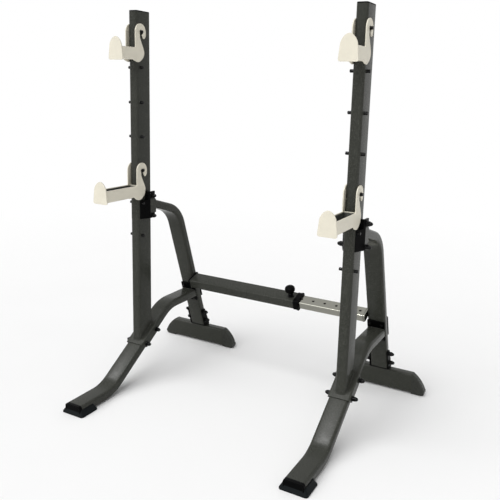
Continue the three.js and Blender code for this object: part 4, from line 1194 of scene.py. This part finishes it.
def cross_member():
    place = cross_frame()
    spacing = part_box("right_upright")[0].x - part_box("left_upright")[0].x
    face = spacing / MM / 2 - BRACE_WIDTH / 2 - SEAT_GAP
    seat = face - CROSS_PLATE - SEAT_GAP
    tube_end = COLLAR_FRONT - COLLAR_END
    section = tube_section(OUTER_DEPTH, OUTER_HEIGHT, OUTER_CORNER, OUTER_WALL)
    cross_tube("outer", "left_stand", section, (-seat, tube_end - SEAT_GAP), 0, place, 0.5)
    clear = 2 * SEAT_GAP
    sleeve = rounded_loop(OUTER_DEPTH, OUTER_HEIGHT, OUTER_CORNER, inset=-COLLAR_WALL)
    rim = rounded_loop(OUTER_DEPTH, OUTER_HEIGHT, OUTER_CORNER, inset=-COLLAR_WALL - COLLAR_RIM)
    rim_start = COLLAR_FRONT - COLLAR_RIM_WIDTH
    over_tube = rounded_loop(OUTER_DEPTH + clear, OUTER_HEIGHT + clear, OUTER_CORNER)
    over_inner = rounded_loop(INNER_DEPTH + clear, INNER_HEIGHT + clear, INNER_CORNER)
    stages = [(sleeve, COLLAR_BACK), (sleeve, rim_start), (rim, rim_start), (rim, COLLAR_FRONT)]
    stages += [(over_inner, COLLAR_FRONT), (over_inner, tube_end)]
    stages += [(over_tube, tube_end), (over_tube, COLLAR_BACK)]
    collar = Shape().skin([[(x, y, z) for y, z in loop] for loop, x in stages], loop=True)
    piece("cross_collar", "body", collar, place, "left_stand", edge=1.2)
    holes = Shape()
    for i in HOLES:
        at = Matrix.Translation((PIN_ACROSS + i * HOLE_PITCH, 0, 0))
        holes.turned(rectangle(0, HOLE_RADIUS, -OUTER_HEIGHT, OUTER_HEIGHT), at)
    section = tube_section(INNER_DEPTH, INNER_HEIGHT, INNER_CORNER, OUTER_WALL)
    cross_tube("inner", "right_stand", section, (INNER_START, seat), 1, place, 0.4, cuts=[holes])
    for side, start in (("left", -face), ("right", face - CROSS_PLATE)):
        rim, depth, height, look = CROSS_PLATES[side]
        plate = rounded_loop(depth + 2 * rim, height + 2 * rim, OUTER_CORNER)
        shape = Shape().prism(plate, start, start + CROSS_PLATE)
        piece(f"cross_{side}_plate", "body", shape, place, f"{side}_stand", look, edge=0.9)


def knob_profile(start):
    """Half outline of the knob from its neck up, fuller than a ball."""
    widest = start + KNOB_HEIGHT / 2
    neck_top = start + KNOB_EDGE
    profile = [(0, start), (KNOB_NECK_RADIUS - KNOB_EDGE, start), (KNOB_NECK_RADIUS, neck_top)]
    for k in range(1, CURVE_STEPS + 1):
        angle = QUARTER * k / CURVE_STEPS
        swell = (KNOB_RADIUS - KNOB_NECK_RADIUS) * math.sin(angle)
        profile.append((KNOB_NECK_RADIUS + swell, neck_top + (widest - neck_top) * (1 - math.cos(angle))))
    steps = 2 * CURVE_STEPS
    for k in range(1, steps + 1):
        angle = QUARTER * k / steps
        out, rise = (math.pow(max(f(angle), 0), KNOB_FULLNESS_SHARE) for f in (math.cos, math.sin))
        profile.append((KNOB_RADIUS * out if k < steps else 0, widest + KNOB_HEIGHT / 2 * rise))
    return profile


def coil_rings(low, high):
    """Rings of a round wire wound about Z."""
    rings = []
    steps = SPRING_TURNS * TURN_SIDES
    for k in range(steps + 1):
        angle = 2 * math.pi * SPRING_TURNS * k / steps
        height = low + (high - low) * k / steps
        ring = []
        for out, rise in circle(SPRING_WIRE / 2, BEAD_SIDES):
            radius = SPRING_COIL / 2 + out
            ring.append((radius * math.cos(angle), radius * math.sin(angle), height + rise))
        rings.append(ring)
    return rings


def spring_pin():
    place = cross_frame() @ Matrix.Translation((PIN_ACROSS, 0, OUTER_HEIGHT / 2))
    low = SEAT_GAP
    flange = HOUSING_FLANGE_RADIUS
    edge = HOUSING_EDGE
    bore = HOUSING_BORE / 2
    ceiling = HOUSING_HEIGHT - HOUSING_TOP
    stem = PIN_STEM_RADIUS + SEAT_GAP
    profile = [(bore, low), (flange - edge, low), (flange, low + edge)]
    profile += [(flange, HOUSING_FLANGE_HEIGHT - edge), (flange - edge, HOUSING_FLANGE_HEIGHT)]
    profile += [(HOUSING_RADIUS, HOUSING_FLANGE_HEIGHT), (HOUSING_RADIUS, HOUSING_HEIGHT - TURNED_CHAMFER)]
    profile += [(HOUSING_RADIUS - TURNED_CHAMFER, HOUSING_HEIGHT), (stem, HOUSING_HEIGHT)]
    profile += [(stem, ceiling), (bore, ceiling)]
    housing = Shape().turned(profile, loop=True)
    piece("pin_housing", "body", housing, place, "left_stand", look="black_steel", edge=0.3)
    shoulder = low + PIN_SHOULDER_HEIGHT
    depth = (OUTER_HEIGHT - INNER_HEIGHT) / 2 + PIN_TRAVEL - PIN_LIFT_CLEARANCE
    stem_top = HOUSING_HEIGHT + SEAT_GAP + KNOB_SOCKET
    pin = [(0, -depth), (PIN_RADIUS - TURNED_CHAMFER, -depth), (PIN_RADIUS, TURNED_CHAMFER - depth)]
    pin += [(PIN_RADIUS, low), (PIN_SHOULDER_RADIUS, low), (PIN_SHOULDER_RADIUS, shoulder)]
    pin += [(PIN_STEM_RADIUS, shoulder), (PIN_STEM_RADIUS, stem_top), (0, stem_top)]
    piece("spring_pin", "body", Shape().turned(pin), place, "pop_pin", edge=0.2)
    knob = Shape().turned(knob_profile(HOUSING_HEIGHT + SEAT_GAP), sides=2 * TURN_SIDES)
    piece("pin_knob", "body", knob, place, "pop_pin", edge=0)
    inset = SPRING_WIRE / 2 + SEAT_GAP
    rings = coil_rings(shoulder + inset, ceiling - inset)
    coil = piece("pin_spring", "coil", Shape().skin(rings), place, "left_stand", edge=0)
    # Pulling the pin presses the spring against the housing's ceiling
    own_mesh(coil)


# Camera, floor and light

def camera():
    forward = Vector((-math.sin(YAW) * math.cos(PITCH), math.cos(YAW) * math.cos(PITCH), -math.sin(PITCH)))
    right = Vector((math.cos(YAW), math.sin(YAW), 0))
    up = right.cross(forward)
    rolled_right = math.cos(ROLL) * right + math.sin(ROLL) * up
    rolled_up = math.cos(ROLL) * up - math.sin(ROLL) * right
    made = linked("camera", bpy.data.cameras.new("camera"))
    made.data.lens = CAMERA_LENS
    made.data.sensor_width = CAMERA_SENSOR
    made.data.shift_x, made.data.shift_y = CAMERA_SHIFT
    axes = Matrix((rolled_right, rolled_up, -forward)).transposed()
    made.matrix_world = Matrix.Translation(CAMERA_PLACE) @ axes.to_4x4()
    scene.camera = made


def shown_white(material_nodes, links, light, white):
    """Show plain white to the camera, and in gloss and glass, in place of the light's own colour."""
    path = material_nodes.new("ShaderNodeLightPath")
    both = path.outputs["Is Camera Ray"]
    for name in ("Is Glossy Ray", "Is Transmission Ray"):
        either = material_nodes.new("ShaderNodeMath")
        either.operation = "MAXIMUM"
        links.new(both, either.inputs[0])
        links.new(path.outputs[name], either.inputs[1])
        both = either.outputs[0]
    mix = material_nodes.new("ShaderNodeMixShader")
    links.new(both, mix.inputs[0])
    links.new(light, mix.inputs[1])
    links.new(white, mix.inputs[2])
    return mix.outputs[0]


def world():
    made = bpy.data.worlds.new("studio")
    made.use_nodes = True
    nodes_here, links = made.node_tree.nodes, made.node_tree.links
    light = nodes_here["Background"]
    set_inputs(light, {"Color": (1, 1, 1, 1), "Strength": AMBIENT})
    white = nodes_here.new("ShaderNodeBackground")
    set_inputs(white, {"Color": (1, 1, 1, 1), "Strength": 1})
    shown = shown_white(nodes_here, links, light.outputs[0], white.outputs[0])
    links.new(shown, nodes_here["World Output"].inputs["Surface"])
    scene.world = made


def floor():
    corners = [(x * FLOOR_HALF, y * FLOOR_HALF, 0) for x, y in ((-1, -1), (1, -1), (1, 1), (-1, 1))]
    made = mesh_object("floor", Shape().add(corners, [[0, 1, 2, 3]]), Matrix.Identity(4))
    finish = Finish("floor", FLOOR_COLOUR, 0.75, specular=0.2)
    finish.mottle(0.6, 0.01).gloss(0.3, 0.05).grain(0.004, 0.00002)
    made.data.materials.append(finish.done())
    white = finish.nodes.new("ShaderNodeEmission")
    white.inputs["Strength"].default_value = 1
    seen = shown_white(finish.nodes, finish.links, finish.shader.outputs[0], white.outputs[0])
    distance = finish.nodes.new("ShaderNodeVectorMath")
    distance.operation = "LENGTH"
    finish.links.new(finish.place, distance.inputs[0])
    fade = finish.nodes.new("ShaderNodeMixShader")
    finish.links.new(finish.mapped(distance.outputs["Value"], FLOOR_FADE, (0, 1)), fade.inputs[0])
    finish.links.new(finish.shader.outputs[0], fade.inputs[1])
    finish.links.new(seen, fade.inputs[2])
    finish.links.new(fade.outputs[0], finish.nodes["Material Output"].inputs["Surface"])


def sky():
    """One broad light from above, as even over the floor as over the stand."""
    light = bpy.data.lights.new("sky_panel", "SUN")
    light.energy = SKY_STRENGTH
    light.angle = SKY_SPREAD
    made = linked("sky_panel", light)
    made.rotation_euler = SKY_TILT


def softbox(name, place, size, power, target):
    light = bpy.data.lights.new(name, "AREA")
    light.shape = "RECTANGLE"
    light.size, light.size_y = size
    light.energy = power
    made = linked(name, light)
    made.location = place
    made.rotation_euler = (Vector(target) - Vector(place)).to_track_quat("-Z", "Y").to_euler()
    return made


camera()
world()
floor()
sky()
softbox("right_softbox", SIDE_PLACE, SIDE_SIZE, SIDE_POWER, SIDE_TARGET)
for name, x in GLARE_ACROSS.items():
    place = (x, GLARE_BACK, GLARE_HEIGHT)
    panel = softbox(f"{name}_glare_panel", place, GLARE_SIZE, GLARE_POWER, (x, GLARE_BACK, 0))
    panel.visible_diffuse = False

for side in ("left", "right"):
    stand = stand_frame(side)
    upright(side, stand)
    upright_cap(side, stand)
    for which in HOOKS:
        hook(side, which, stand)
        hook_liner(side, which, stand)
    rear_brace(side, stand)
    front_leg(side, stand)
    flange_and_plate(side, stand)
    saddle(side, stand)
    front_boot(side, stand)
    rear_foot(side, stand)
    rear_bracket(side, stand)
    tie_bolts(side, stand)
cross_member()
spring_pin()

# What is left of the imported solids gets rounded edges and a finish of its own
for name, solid in nodes.items():
    if solid.hide_render:
        continue
    rounded_edges(solid, SOLID_EDGE, SOLID_EDGE_ANGLE)
    solid.data.materials.clear()
    solid.data.materials.append(LOOKS[slots[name]])

scene.view_settings.view_transform = "Standard"
